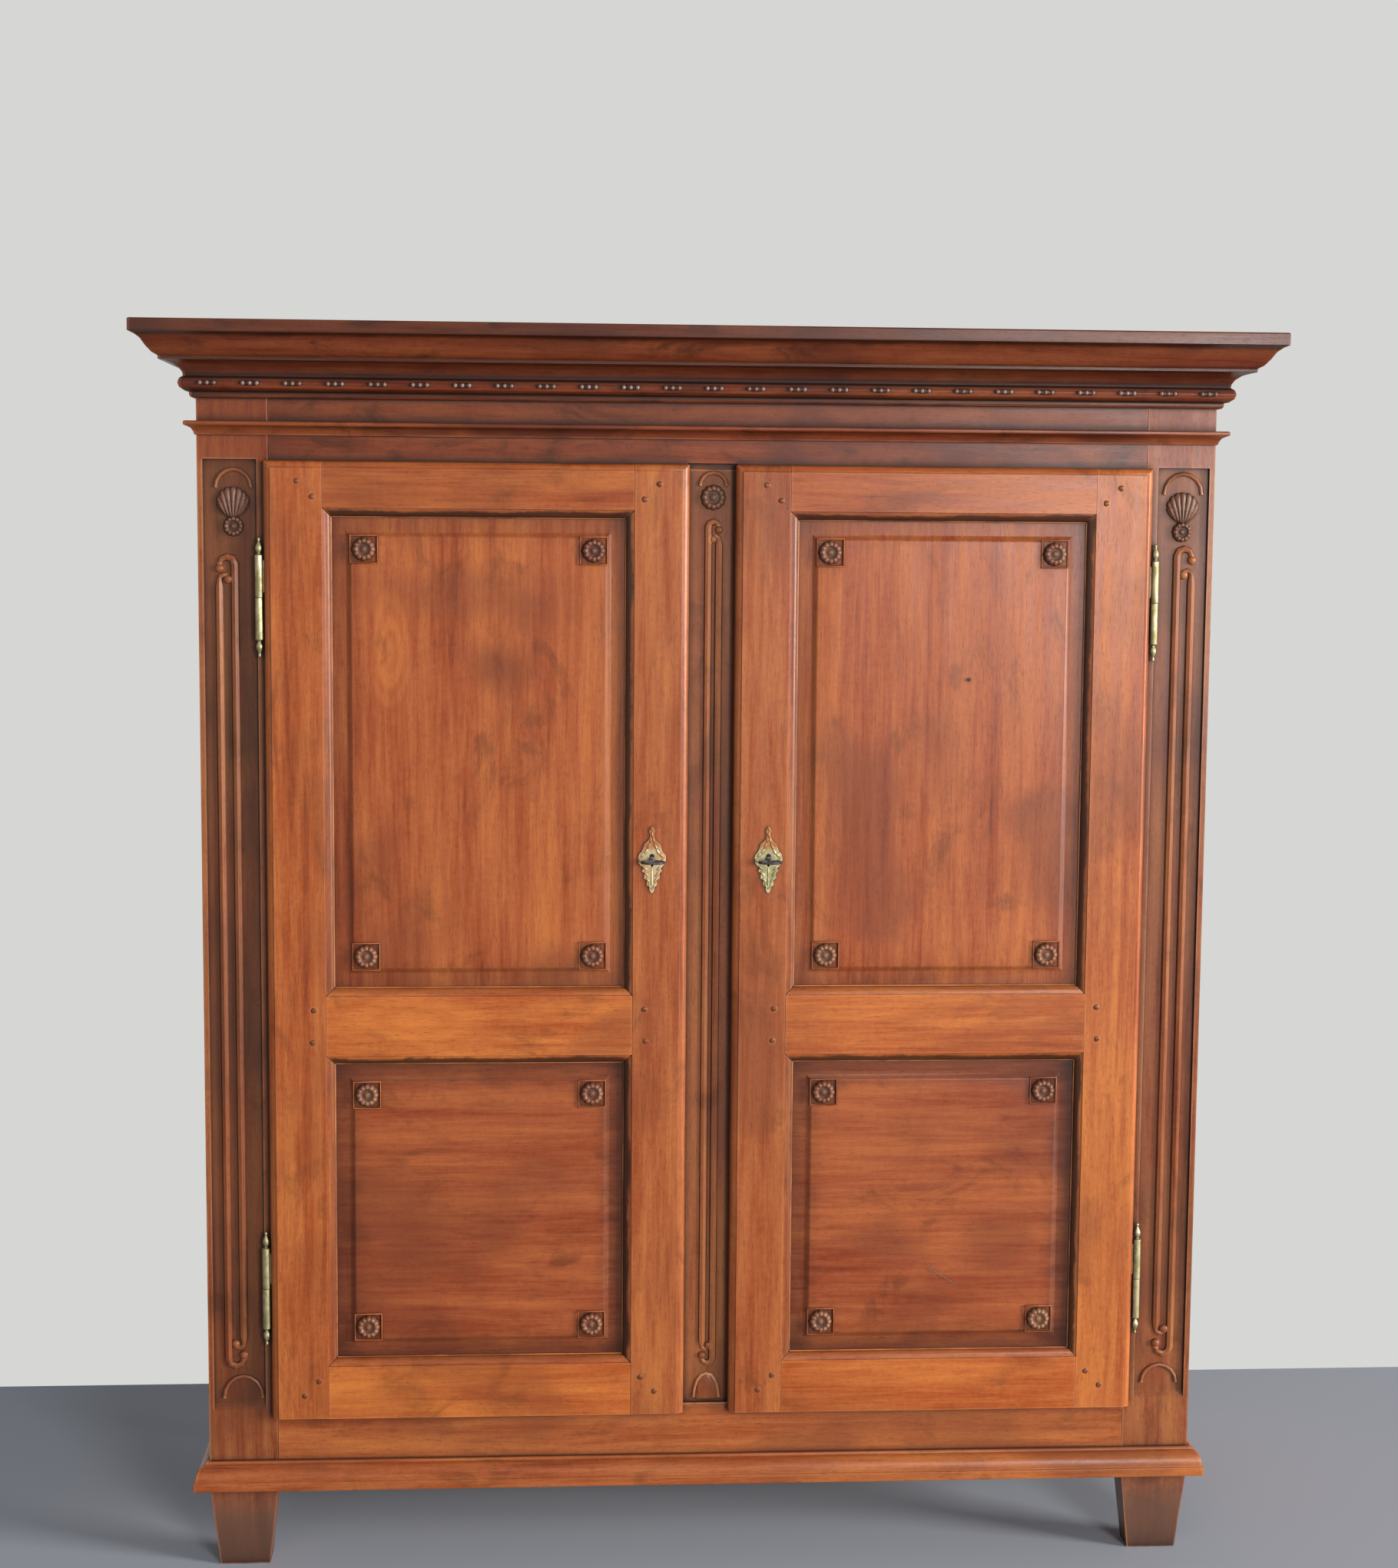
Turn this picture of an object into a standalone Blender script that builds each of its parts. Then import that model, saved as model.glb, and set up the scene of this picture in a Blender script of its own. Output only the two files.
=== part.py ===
"""Two-door panelled cupboard with a moulded cornice, carved posts, fiche hinges and rim locks.

Units are metres, +Z is up and -Y is the front. The origin lies on the floor, under the middle of
the overall box. Run it with: blender --background --python part.py
"""

import math

import bmesh
import bpy
from mathutils import Matrix

# Overall sizes
HEIGHT = 2.000
BODY_WIDTH = 1.610
BODY_DEPTH = 0.560
FIT = 0.0003  # gap that touching pieces keep
OVERRUN = 0.010  # how far a cutter reaches past what it cuts

# Posts
POST_WIDTH = 0.110
POST_DEPTH = 0.060
BACK_POST_WIDTH = 0.070
CENTRE_POST_WIDTH = 0.0872
CENTRE_POST_DEPTH = 0.044
FOOT_HEIGHT = 0.133
FOOT_END_WIDTH = 0.080
FOOT_END_DEPTH = 0.046
RECESS_DEPTH = 0.006
RECESS_OUTER_MARGIN = 0.0085
RECESS_INNER_MARGIN = 0.0185
RECESS_RAMP = 0.010  # height over which a sunk panel runs out at its foot
RECESS_ABOVE_OPENING = 0.009
RECESS_ABOVE_SILL = 0.002
CENTRE_RECESS_MARGIN = 0.004

# Rails, boards and sides of the case
TOP_RAIL_BELOW_ARCHITRAVE = 0.046
BOTTOM_RAIL_HEIGHT = 0.126
RAIL_THICKNESS = 0.032
SIDE_RAIL_THICKNESS = 0.030
LEDGE_WIDTH = 0.016
BOARD_SEAT = 0.020  # from the face to where the bottom board starts
BOARD_THICKNESS = 0.018
CASE_TENON_LENGTH = 0.034
CASE_TENON_THICKNESS = 0.011
TENON_SHOULDER = 0.012
SIDE_PANEL_EDGE = 0.008
SIDE_PANEL_FIELD = 0.006
SIDE_PANEL_MARGIN = 0.050
SIDE_PANEL_SETBACK = 0.010
CASE_GROOVE_DEPTH = 0.009
CLEAT_HEIGHT = 0.024
CLEAT_DEPTH = 0.020
BACK_THICKNESS = 0.014
BACK_SETBACK = 0.006
BACK_BOARD_COUNT = 9
BACK_JOINT_WIDTH = 0.005
BACK_JOINT_DEPTH = 0.003
SHELF_SHARES = (0.2238, 0.4633, 0.7323)  # heights of the shelves in the case's opening
SHELF_THICKNESS = 0.020
SHELF_FRONT_SETBACK = 0.070
SHELF_EDGE = 0.003

# Mouldings of the case, each from its own lower edge
CORNICE_HEIGHT = 0.114
CORNICE_PROJECTION = 0.089
ARCHITRAVE_BELOW_CORNICE = 0.057
ARCHITRAVE_HEIGHT = 0.021
ARCHITRAVE_PROJECTION = 0.018
BASE_MOULDING_HEIGHT = 0.045
BASE_MOULDING_PROJECTION = 0.024

# Doors
DOOR_PROUD = 0.020
DOOR_THICKNESS = 0.028
DOOR_LIP = 0.007
DOOR_CLEARANCE = 0.0015
HINGE_STILE_WIDTH = 0.0915
LOCK_STILE_WIDTH = 0.0865
DOOR_TOP_RAIL_WIDTH = 0.0723
DOOR_MIDDLE_RAIL_WIDTH = 0.0962
DOOR_BOTTOM_RAIL_WIDTH = 0.0869
LOWER_PANEL_HEIGHT = 0.5096
STICKING_WIDTH = 0.0145
STICKING_DEPTH = 0.009
QUIRK = 0.0015
EDGE_OVOLO_WIDTH = 0.011
EDGE_OVOLO_DEPTH = 0.010
DOOR_GROOVE_DEPTH = 0.010
DOOR_GROOVE_FRONT = 0.011
DOOR_GROOVE_WIDTH = 0.007
PANEL_PLAY = 0.002
FIELD_INSET = 0.0360
FIELD_RISE = 0.0045
FIELD_BEVEL = 0.010
DOOR_TENON_LENGTH = 0.055
DOOR_TENON_THICKNESS = 0.008

# Square corner rosettes of the door panels
TILE_SIZE = 0.045
TILE_BORDER = 0.0025
TILE_LAP = 0.0045  # how far a tile reaches over the field's bevel
TILE_SINK = 0.002
FLOWER_RADIUS = 0.0170
FLOWER_HEIGHT = 0.0030
FLOWER_PETALS = 8
FLOWER_BUTTON_RADIUS = 0.0045
FLOWER_BUTTON_HEIGHT = 0.0045
PETAL_NOTCH_SHARE = 0.84
FLOWER_DISH_SHARE = 0.80

# Carving of the posts
REED_HALF_WIDTH = 0.0072
REED_HEIGHT = 0.0054
REED_SPACING = 0.0242
REED_TIP_SHARE = 0.62
CENTRE_REED_HALF_WIDTH = 0.0064
CENTRE_REED_SPACING = 0.0170
CENTRE_REED_HEIGHT = 0.0048
CURL_RADIUS_SHARE = 0.55
HOOK_DROP_SHARE = 0.5
ARCH_RIDGE = 0.0034
SHELL_LOBES = 7
SHELL_HEIGHT = 0.0042
SHELL_NOTCH_SHARE = 0.86
SHELL_CROWN_SHARE = 0.55
ROUND_STEPS = 8  # straight steps in a half circle of carving
OVOLO_STEPS = 4

# Hinges
BARREL_RADIUS = 0.0065
BARREL_LENGTH = 0.132
BARREL_GAP = 0.001
KNUCKLE_GAP = 0.0006
PIN_RADIUS = 0.0035
PIN_LENGTH = 0.045
PIN_PLAY = 0.0006
FINIAL_LENGTH = 0.028
LEAF_THICKNESS = 0.0026
LEAF_REACH = 0.034
LEAF_MARGIN = 0.008
HINGE_FORWARD = 0.010
HINGE_BELOW_DOOR_TOP = 0.213
HINGE_ABOVE_DOOR_BOTTOM = 0.215
TURNED_STEPS = 12

# Locks, keys and escutcheons
LOCK_ABOVE_MIDDLE_RAIL = 0.2203
LOCK_INSET = 0.0565  # from the door's free edge to the keyhole
CASE_LENGTH = 0.092
CASE_HEIGHT = 0.076
CASE_DEPTH = 0.018
CASE_WALL = 0.002
CASE_EDGE_GAP = 0.0045  # from the door's rebated edge to the lock
BOLT_HEIGHT = 0.018
BOLT_THICKNESS = 0.008
BOLT_LENGTH = 0.074
BOLT_RISE = 0.0225  # bolt's middle above the keyhole
BOLT_THROW = 0.012
BOLT_PLAY = 0.0005
BOLT_TIP_BACK = 0.0005
MORTISE_PLAY = 0.002
KEY_RADIUS = 0.003
KEY_HOLE_PLAY = 0.0012
KEYHOLE_BOW = (-0.35, 1.35)  # ends of the keyhole's round, in half turns from +X
KEY_STANDOFF = 0.024  # from the door face to the bow's near side
KEY_TIP = 0.014  # how far the key reaches into the lock
KEY_COLLAR_RADIUS = 0.0048
KEY_COLLAR_LENGTH = 0.004
BOW_HALF_WIDTH = 0.0175
BOW_HALF_LENGTH = 0.0125
BOW_THICKNESS = 0.0024
BIT_REACH = 0.0105
BIT_LENGTH = 0.008
BIT_THICKNESS = 0.0026
PLATE_THICKNESS = 0.0015
PLATE_HALF_WIDTH = 0.0225
PLATE_ABOVE = 0.054
PLATE_BELOW = 0.055

FRONT_Y = CORNICE_PROJECTION - (BODY_DEPTH + CORNICE_PROJECTION) / 2
BACK_Y = FRONT_Y + BODY_DEPTH
HALF_WIDTH = BODY_WIDTH / 2
POST_INNER_X = HALF_WIDTH - POST_WIDTH
TOP_OF_POSTS = HEIGHT - BOARD_THICKNESS - FIT
FRIEZE_TOP = HEIGHT - CORNICE_HEIGHT
ARCHITRAVE_BOTTOM = FRIEZE_TOP - ARCHITRAVE_BELOW_CORNICE
OPENING_TOP = ARCHITRAVE_BOTTOM - TOP_RAIL_BELOW_ARCHITRAVE
OPENING_BOTTOM = FOOT_HEIGHT + BOTTOM_RAIL_HEIGHT
SHELF_HEIGHTS = [OPENING_BOTTOM + share * (OPENING_TOP - OPENING_BOTTOM) for share in SHELF_SHARES]
RECESS_TOP = OPENING_TOP + RECESS_ABOVE_OPENING
RECESS_BOTTOM = OPENING_BOTTOM + RECESS_ABOVE_SILL
DOOR_OUTER_X = POST_INNER_X + DOOR_LIP
DOOR_INNER_X = CENTRE_POST_WIDTH / 2 - DOOR_LIP
DOOR_TOP = OPENING_TOP + DOOR_LIP
DOOR_BOTTOM = OPENING_BOTTOM - DOOR_LIP
UPPER_OPENING_TOP = DOOR_TOP - DOOR_TOP_RAIL_WIDTH
LOWER_OPENING_BOTTOM = DOOR_BOTTOM + DOOR_BOTTOM_RAIL_WIDTH
LOWER_OPENING_TOP = LOWER_OPENING_BOTTOM + LOWER_PANEL_HEIGHT
UPPER_OPENING_BOTTOM = LOWER_OPENING_TOP + DOOR_MIDDLE_RAIL_WIDTH
LOCK_HEIGHT = UPPER_OPENING_BOTTOM + LOCK_ABOVE_MIDDLE_RAIL
HINGE_HEIGHTS = {"upper": DOOR_TOP - HINGE_BELOW_DOOR_TOP, "lower": DOOR_BOTTOM + HINGE_ABOVE_DOOR_BOTTOM}
DOOR_FRONT_Y = FRONT_Y - DOOR_PROUD
DOOR_BACK_Y = DOOR_FRONT_Y + DOOR_THICKNESS
HINGE_X = DOOR_OUTER_X + BARREL_GAP + BARREL_RADIUS
HINGE_Y = FRONT_Y - HINGE_FORWARD
KEY_X = DOOR_INNER_X + LOCK_INSET
CASE_NEAR_X = CENTRE_POST_WIDTH / 2 + CASE_EDGE_GAP
BOLT_Y = DOOR_BACK_Y + CASE_DEPTH / 2

SIDES = {"left": -1, "right": 1}

# Outlines as (projection share, height share) of each moulding, from its foot to its top
CORNICE_SHARES = (
    (0.0, 0.0), (0.07, 0.0), (0.10, 0.03), (0.10, 0.075),
    (0.17, 0.085), (0.25, 0.13), (0.275, 0.19), (0.25, 0.25), (0.19, 0.285),
    (0.20, 0.33), (0.25, 0.39), (0.34, 0.44), (0.46, 0.475), (0.56, 0.485),
    (0.56, 0.53), (0.65, 0.57), (0.74, 0.65), (0.82, 0.745), (0.91, 0.80), (0.955, 0.815),
    (1.0, 0.83), (1.0, 0.985), (0.985, 1.0), (0.0, 1.0),
)
ARCHITRAVE_SHARES = (
    (0.0, 0.0), (0.15, 0.0), (0.22, 0.22), (0.42, 0.48), (0.75, 0.62),
    (0.95, 0.68), (1.0, 0.76), (1.0, 0.92), (0.9, 1.0), (0.0, 1.0),
)
BASE_SHARES = (
    (0.0, 0.0), (0.96, 0.0), (1.0, 0.05), (1.0, 0.32), (0.88, 0.36), (0.88, 0.42),
    (0.84, 0.60), (0.68, 0.78), (0.42, 0.88), (0.30, 0.90), (0.26, 0.97), (0.20, 1.0), (0.0, 1.0),
)
# Right half of the key plate, as (half-width share, height share) from its lower tip to its top
PLATE_SHARES = (
    (0.0, 0.0), (0.14, 0.03), (0.22, 0.10), (0.38, 0.12), (0.36, 0.20), (0.56, 0.22), (0.54, 0.30),
    (0.72, 0.33), (0.60, 0.38), (0.80, 0.41), (0.95, 0.45), (1.0, 0.52), (0.92, 0.58), (0.74, 0.62),
    (0.64, 0.68), (0.56, 0.74), (0.36, 0.77), (0.20, 0.81), (0.14, 0.87), (0.22, 0.92), (0.12, 0.97),
    (0.0, 1.0),
)
# Finial as (radius share of the barrel, share of the finial's length) from its tip to the barrel
FINIAL_SHARES = (
    (0.0, 0.0), (0.34, 0.05), (0.42, 0.13), (0.30, 0.21), (0.30, 0.28), (0.62, 0.40), (0.84, 0.56),
    (0.80, 0.72), (0.45, 0.86), (0.45, 0.92),
)

# Carving of each post, taken one by one because the old work differs from post to post. Places across
# are from the case's side, or on the centre post from its middle. Heights are drops from the top of the
# post's sunk panel, and those of the lower end are rises from its bottom.
CARVING = {
    "left": {
        "middle": 0.0445, "arch_middle": 0.0550, "arch_half": 0.0275, "low_arch_half": 0.0310,
        "arch_foot": 0.044, "arch_top": 0.0155, "shell_height": 0.067, "rosette_height": 0.104,
        "hook_top": 0.1445, "curl_top": 0.187,
        "curl_bottom": 0.110, "hook_bottom": 0.0660, "low_arch_foot": 0.020, "low_arch_top": 0.0560,
    },
    "right": {
        "middle": 0.0445, "arch_middle": 0.0500, "arch_half": 0.0305, "low_arch_half": 0.0290,
        "arch_foot": 0.042, "arch_top": 0.009, "shell_height": 0.063, "rosette_height": 0.1015,
        "hook_top": 0.1210, "curl_top": 0.170,
        "curl_bottom": 0.115, "hook_bottom": 0.0660, "low_arch_foot": 0.024, "low_arch_top": 0.0540,
    },
    "centre": {
        "middle": 0.0030, "arch_middle": 0.0018, "arch_half": 0.0210, "low_arch_half": 0.0205,
        "arch_foot": 0.0345, "arch_top": 0.0140, "rosette_height": 0.0545,
        "hook_top": 0.0845, "curl_top": 0.119,
        "curl_bottom": 0.097, "hook_bottom": 0.0613, "low_arch_foot": 0.010, "low_arch_top": 0.0495,
    },
}
SHELL_HALF_WIDTH = 0.0245
SHELL_HALF_HEIGHT = 0.0235
POST_ROSETTE_RADIUS = 0.0158
CENTRE_ROSETTE_RADIUS = 0.0175


def clear_scene():
    for obj in list(bpy.data.objects):
        bpy.data.objects.remove(obj, do_unlink=True)


def new_collection(name):
    collection = bpy.data.collections.new(name)
    bpy.context.scene.collection.children.link(collection)
    return collection


def new_material(name, colour, roughness, metallic=0.0):
    material = bpy.data.materials.new(name)
    material.use_nodes = True
    shader = material.node_tree.nodes["Principled BSDF"]
    shader.inputs["Base Color"].default_value = (*colour, 1.0)
    shader.inputs["Roughness"].default_value = roughness
    shader.inputs["Metallic"].default_value = metallic
    return material


clear_scene()
PARTS = new_collection("cupboard")
CUTTERS = new_collection("cutters")
WOOD = new_material("cherry_wood", (0.35, 0.12, 0.045), 0.42)
RAIL_WOOD = new_material("cherry_rail", (0.44, 0.17, 0.06), 0.40)
INNER_WOOD = new_material("case_wood", (0.42, 0.26, 0.14), 0.65)
BRASS = new_material("brass", (0.62, 0.52, 0.28), 0.35, 1.0)
STEEL = new_material("lock_steel", (0.20, 0.19, 0.18), 0.45, 1.0)


def place(name, mesh, collection, material, location=(0.0, 0.0, 0.0)):
    """Put a mesh in the scene as a named object with its material."""
    obj = bpy.data.objects.new(name, mesh)
    obj.location = location
    collection.objects.link(obj)
    if material is not None:
        mesh.materials.clear()
        mesh.materials.append(material)
    if collection is CUTTERS:
        obj.hide_render = True
        obj.display_type = "WIRE"
    return obj


def finished_mesh(name, bm):
    """A mesh from bmesh data, with its faces pointing out."""
    bmesh.ops.recalc_face_normals(bm, faces=bm.faces)
    mesh = bpy.data.meshes.new(name)
    bm.to_mesh(mesh)
    bm.free()
    return mesh


def box(name, x, y, z, collection=None, material=None):
    """A box between two places along each axis, with its origin at its middle."""
    bm = bmesh.new()
    bmesh.ops.create_cube(bm, size=1.0)
    spans = [abs(pair[1] - pair[0]) for pair in (x, y, z)]
    bmesh.ops.scale(bm, vec=spans, verts=bm.verts)
    middle = [(pair[0] + pair[1]) / 2 for pair in (x, y, z)]
    return place(name, finished_mesh(name, bm), collection or CUTTERS, material, middle)


# Which way an outline's first and second coordinates and its thickness run
PLANES = {
    "X": Matrix(((0, 0, 1, 0), (1, 0, 0, 0), (0, 1, 0, 0), (0, 0, 0, 1))),  # outline in Y and Z
    "Y": Matrix(((1, 0, 0, 0), (0, 0, 1, 0), (0, 1, 0, 0), (0, 0, 0, 1))),  # outline in X and Z
    "Z": Matrix.Identity(4),  # outline in X and Y
}


def mesh_of(obj, name):
    """The evaluated mesh of a curve, with its loose caps welded, in place of the curve."""
    bpy.context.view_layer.update()
    graph = bpy.context.evaluated_depsgraph_get()
    mesh = bpy.data.meshes.new_from_object(obj.evaluated_get(graph))
    matrix = obj.matrix_world.copy()
    bm = bmesh.new()
    bm.from_mesh(mesh)
    bmesh.ops.remove_doubles(bm, verts=bm.verts, dist=FIT / 10)
    bmesh.ops.transform(bm, matrix=matrix, verts=bm.verts)
    bpy.data.objects.remove(obj, do_unlink=True)
    return finished_mesh(name, bm)


def outline_mesh(name, points, axis, low, high):
    """A flat outline given thickness from low to high along an axis."""
    curve = bpy.data.curves.new(name, "CURVE")
    curve.dimensions = "2D"
    curve.fill_mode = "BOTH"
    curve.extrude = (high - low) / 2
    spline = curve.splines.new("POLY")
    spline.points.add(len(points) - 1)
    for point, (across, up) in zip(spline.points, points):
        point.co = (across, up, 0.0, 1.0)
    spline.use_cyclic_u = True
    obj = bpy.data.objects.new(name, curve)
    bpy.context.scene.collection.objects.link(obj)
    obj.matrix_world = PLANES[axis] @ Matrix.Translation((0.0, 0.0, (low + high) / 2))
    return mesh_of(obj, name)


def prism(name, points, axis, low, high, collection=None, material=None):
    mesh = outline_mesh(name, points, axis, low, high)
    return place(name, mesh, collection or CUTTERS, material)


def tube(name, points, radius, flatten=1.0, shares=None, flat_at=0.0):
    """A POLY curve with a round bevel, pressed flatter along Y about a plane."""
    curve = bpy.data.curves.new(name, "CURVE")
    curve.dimensions = "3D"
    curve.bevel_depth = radius
    curve.bevel_resolution = 2
    curve.use_fill_caps = True
    spline = curve.splines.new("POLY")
    spline.points.add(len(points) - 1)
    for index, (point, place_at) in enumerate(zip(spline.points, points)):
        point.co = (*place_at, 1.0)
        point.radius = shares[index] if shares else 1.0
    obj = bpy.data.objects.new(name, curve)
    bpy.context.scene.collection.objects.link(obj)
    about = Matrix.Translation((0.0, flat_at, 0.0))
    obj.matrix_world = about @ Matrix.Diagonal((1.0, flatten, 1.0, 1.0)) @ about.inverted()
    return place(name, mesh_of(obj, name), CUTTERS, None)


def turned(name, profile, location, collection=None, material=None):
    """A profile of (radius, height) that runs from top to bottom, turned about Z by a Screw."""
    mesh = bpy.data.meshes.new(name)
    points = [(radius, 0.0, height) for radius, height in profile]
    edges = [(index, index + 1) for index in range(len(points) - 1)]
    mesh.from_pydata(points, edges, [])
    obj = place(name, mesh, collection or CUTTERS, material, location)
    screw = obj.modifiers.new("turn", "SCREW")
    screw.steps = TURNED_STEPS
    screw.render_steps = TURNED_STEPS
    screw.use_merge_vertices = True
    screw.merge_threshold = FIT / 10
    return obj


def combine(target, tool, operation):
    modifier = target.modifiers.new(tool.name, "BOOLEAN")
    modifier.operation = operation
    modifier.solver = "EXACT"
    modifier.object = tool


def cut(target, *tools):
    for tool in tools:
        combine(target, tool, "DIFFERENCE")


def join(target, *tools):
    for tool in tools:
        combine(target, tool, "UNION")


def attach(obj, parent):
    """Parent an object without moving it."""
    obj.parent = parent
    obj.matrix_parent_inverse = Matrix.Translation(parent.location).inverted()


def span(side, near, far):
    """Two places along X on the given side, lowest first."""
    return sorted((side * near, side * far))


def grown(pair, by):
    return (pair[0] - by, pair[1] + by)


def tenon_joint(member, receiver, axis, shoulder, tip, first, second):
    """A tenon of the member in a mortise of the receiver.

    It runs along an axis from shoulder to tip; first and second are its other two spans in X, Y, Z order.
    """
    way = 1 if tip > shoulder else -1
    tongue = sorted((shoulder - way * OVERRUN, tip))
    socket = sorted((shoulder - way * OVERRUN, tip + way * FIT))
    spans = [first, second]
    holes = [grown(first, FIT), grown(second, FIT)]
    spans.insert("XYZ".index(axis), tongue)
    holes.insert("XYZ".index(axis), socket)
    join(member, box(member.name + "_tenon", *spans))
    cut(receiver, box(receiver.name + "_mortise", *holes))


def post_blank(name, x, y):
    """A square post whose lower end tapers on all sides into a foot."""
    bm = bmesh.new()
    bmesh.ops.create_cube(bm, size=1.0)
    size = (x[1] - x[0], y[1] - y[0], TOP_OF_POSTS)
    bmesh.ops.scale(bm, vec=size, verts=bm.verts)
    bmesh.ops.translate(bm, vec=(0.0, 0.0, TOP_OF_POSTS / 2), verts=bm.verts)
    everything = [*bm.verts, *bm.edges, *bm.faces]
    shoulder = (0.0, 0.0, FOOT_HEIGHT)
    bmesh.ops.bisect_plane(bm, geom=everything, plane_co=shoulder, plane_no=(0.0, 0.0, 1.0))
    foot = [vertex for vertex in bm.verts if vertex.co.z < FOOT_HEIGHT / 2]
    taper = (FOOT_END_WIDTH / POST_WIDTH, FOOT_END_DEPTH / POST_DEPTH, 1.0)
    bmesh.ops.scale(bm, vec=taper, verts=foot)
    middle = ((x[0] + x[1]) / 2, (y[0] + y[1]) / 2, 0.0)
    return place(name, finished_mesh(name, bm), PARTS, WOOD, middle)


def make_posts():
    posts = {}
    for name, side in SIDES.items():
        x = span(side, POST_INNER_X, HALF_WIDTH)
        front = post_blank(name + "_front_post", x, (FRONT_Y, FRONT_Y + POST_DEPTH))
        recess_x = span(side, POST_INNER_X + RECESS_INNER_MARGIN, HALF_WIDTH - RECESS_OUTER_MARGIN)
        recess = [
            (FRONT_Y - OVERRUN, RECESS_BOTTOM), (FRONT_Y, RECESS_BOTTOM),
            (FRONT_Y + RECESS_DEPTH, RECESS_BOTTOM + RECESS_RAMP),
            (FRONT_Y + RECESS_DEPTH, RECESS_TOP), (FRONT_Y - OVERRUN, RECESS_TOP),
        ]
        cut(front, prism(name + "_recess", recess, "X", *recess_x))
        x = span(side, HALF_WIDTH - BACK_POST_WIDTH, HALF_WIDTH)
        back = post_blank(name + "_back_post", x, (BACK_Y - POST_DEPTH, BACK_Y))
        posts[name] = (front, back)
    return posts


def make_front_rails(posts):
    reach = POST_INNER_X - FIT
    y = (FRONT_Y, FRONT_Y + RAIL_THICKNESS)
    middle_y = FRONT_Y + RAIL_THICKNESS / 2
    tenon_y = (middle_y - CASE_TENON_THICKNESS / 2, middle_y + CASE_TENON_THICKNESS / 2)
    heights = {
        "front_top_rail": (OPENING_TOP, TOP_OF_POSTS),
        "front_bottom_rail": (FOOT_HEIGHT, OPENING_BOTTOM),
    }
    rails = []
    for rail_name, z in heights.items():
        rail = box(rail_name, (-reach, reach), y, z, PARTS, RAIL_WOOD)
        for name, side in SIDES.items():
            tip = side * (POST_INNER_X + CASE_TENON_LENGTH)
            tenon_joint(rail, posts[name][0], "X", side * reach, tip, tenon_y, grown(z, -TENON_SHOULDER))
        rails.append(rail)
    top_rail, bottom_rail = rails
    seat = box(
        "board_seat", (-HALF_WIDTH, HALF_WIDTH), (FRONT_Y + BOARD_SEAT, FRONT_Y + POST_DEPTH),
        (OPENING_BOTTOM - BOARD_THICKNESS - FIT, OPENING_BOTTOM + OVERRUN),
    )
    cut(bottom_rail, seat)
    return top_rail, bottom_rail


def make_centre_post(top_rail, bottom_rail):
    half = CENTRE_POST_WIDTH / 2
    z = (OPENING_BOTTOM + FIT, OPENING_TOP - FIT)
    y = (FRONT_Y, FRONT_Y + CENTRE_POST_DEPTH)
    post = box("centre_post", (-half, half), y, z, PARTS, WOOD)
    tenon_x = (-half + TENON_SHOULDER, half - TENON_SHOULDER)
    seat_y = FRONT_Y + BOARD_SEAT / 2
    tenon_y = (seat_y - CASE_TENON_THICKNESS / 2, seat_y + CASE_TENON_THICKNESS / 2)
    rail_middle = FRONT_Y + RAIL_THICKNESS / 2
    upper_tenon_y = grown((rail_middle, rail_middle), CASE_TENON_THICKNESS / 2)
    tenon_joint(post, top_rail, "Z", z[1], OPENING_TOP + CASE_TENON_LENGTH, tenon_x, upper_tenon_y)
    tenon_joint(post, bottom_rail, "Z", z[0], OPENING_BOTTOM - CASE_TENON_LENGTH, tenon_x, tenon_y)
    recess_x = (-half + CENTRE_RECESS_MARGIN, half - CENTRE_RECESS_MARGIN)
    recess_y = (FRONT_Y - OVERRUN, FRONT_Y + RECESS_DEPTH)
    recess_z = (z[0] + CENTRE_RECESS_MARGIN, RECESS_TOP)
    cut(post, box("centre_recess", recess_x, recess_y, recess_z))
    cut(top_rail, box("centre_recess_head", recess_x, recess_y, recess_z))
    for name, side in SIDES.items():
        near = half - BOLT_THROW - MORTISE_PLAY
        bolt_z = LOCK_HEIGHT + BOLT_RISE
        mortise_y = (BOLT_Y - BOLT_THICKNESS / 2 - MORTISE_PLAY, BOLT_Y + BOLT_THICKNESS / 2 + MORTISE_PLAY)
        mortise_z = grown((bolt_z - BOLT_HEIGHT / 2, bolt_z + BOLT_HEIGHT / 2), MORTISE_PLAY)
        cut(post, box(name + "_bolt_mortise", span(side, near, half + OVERRUN), mortise_y, mortise_z))
    return post


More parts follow.
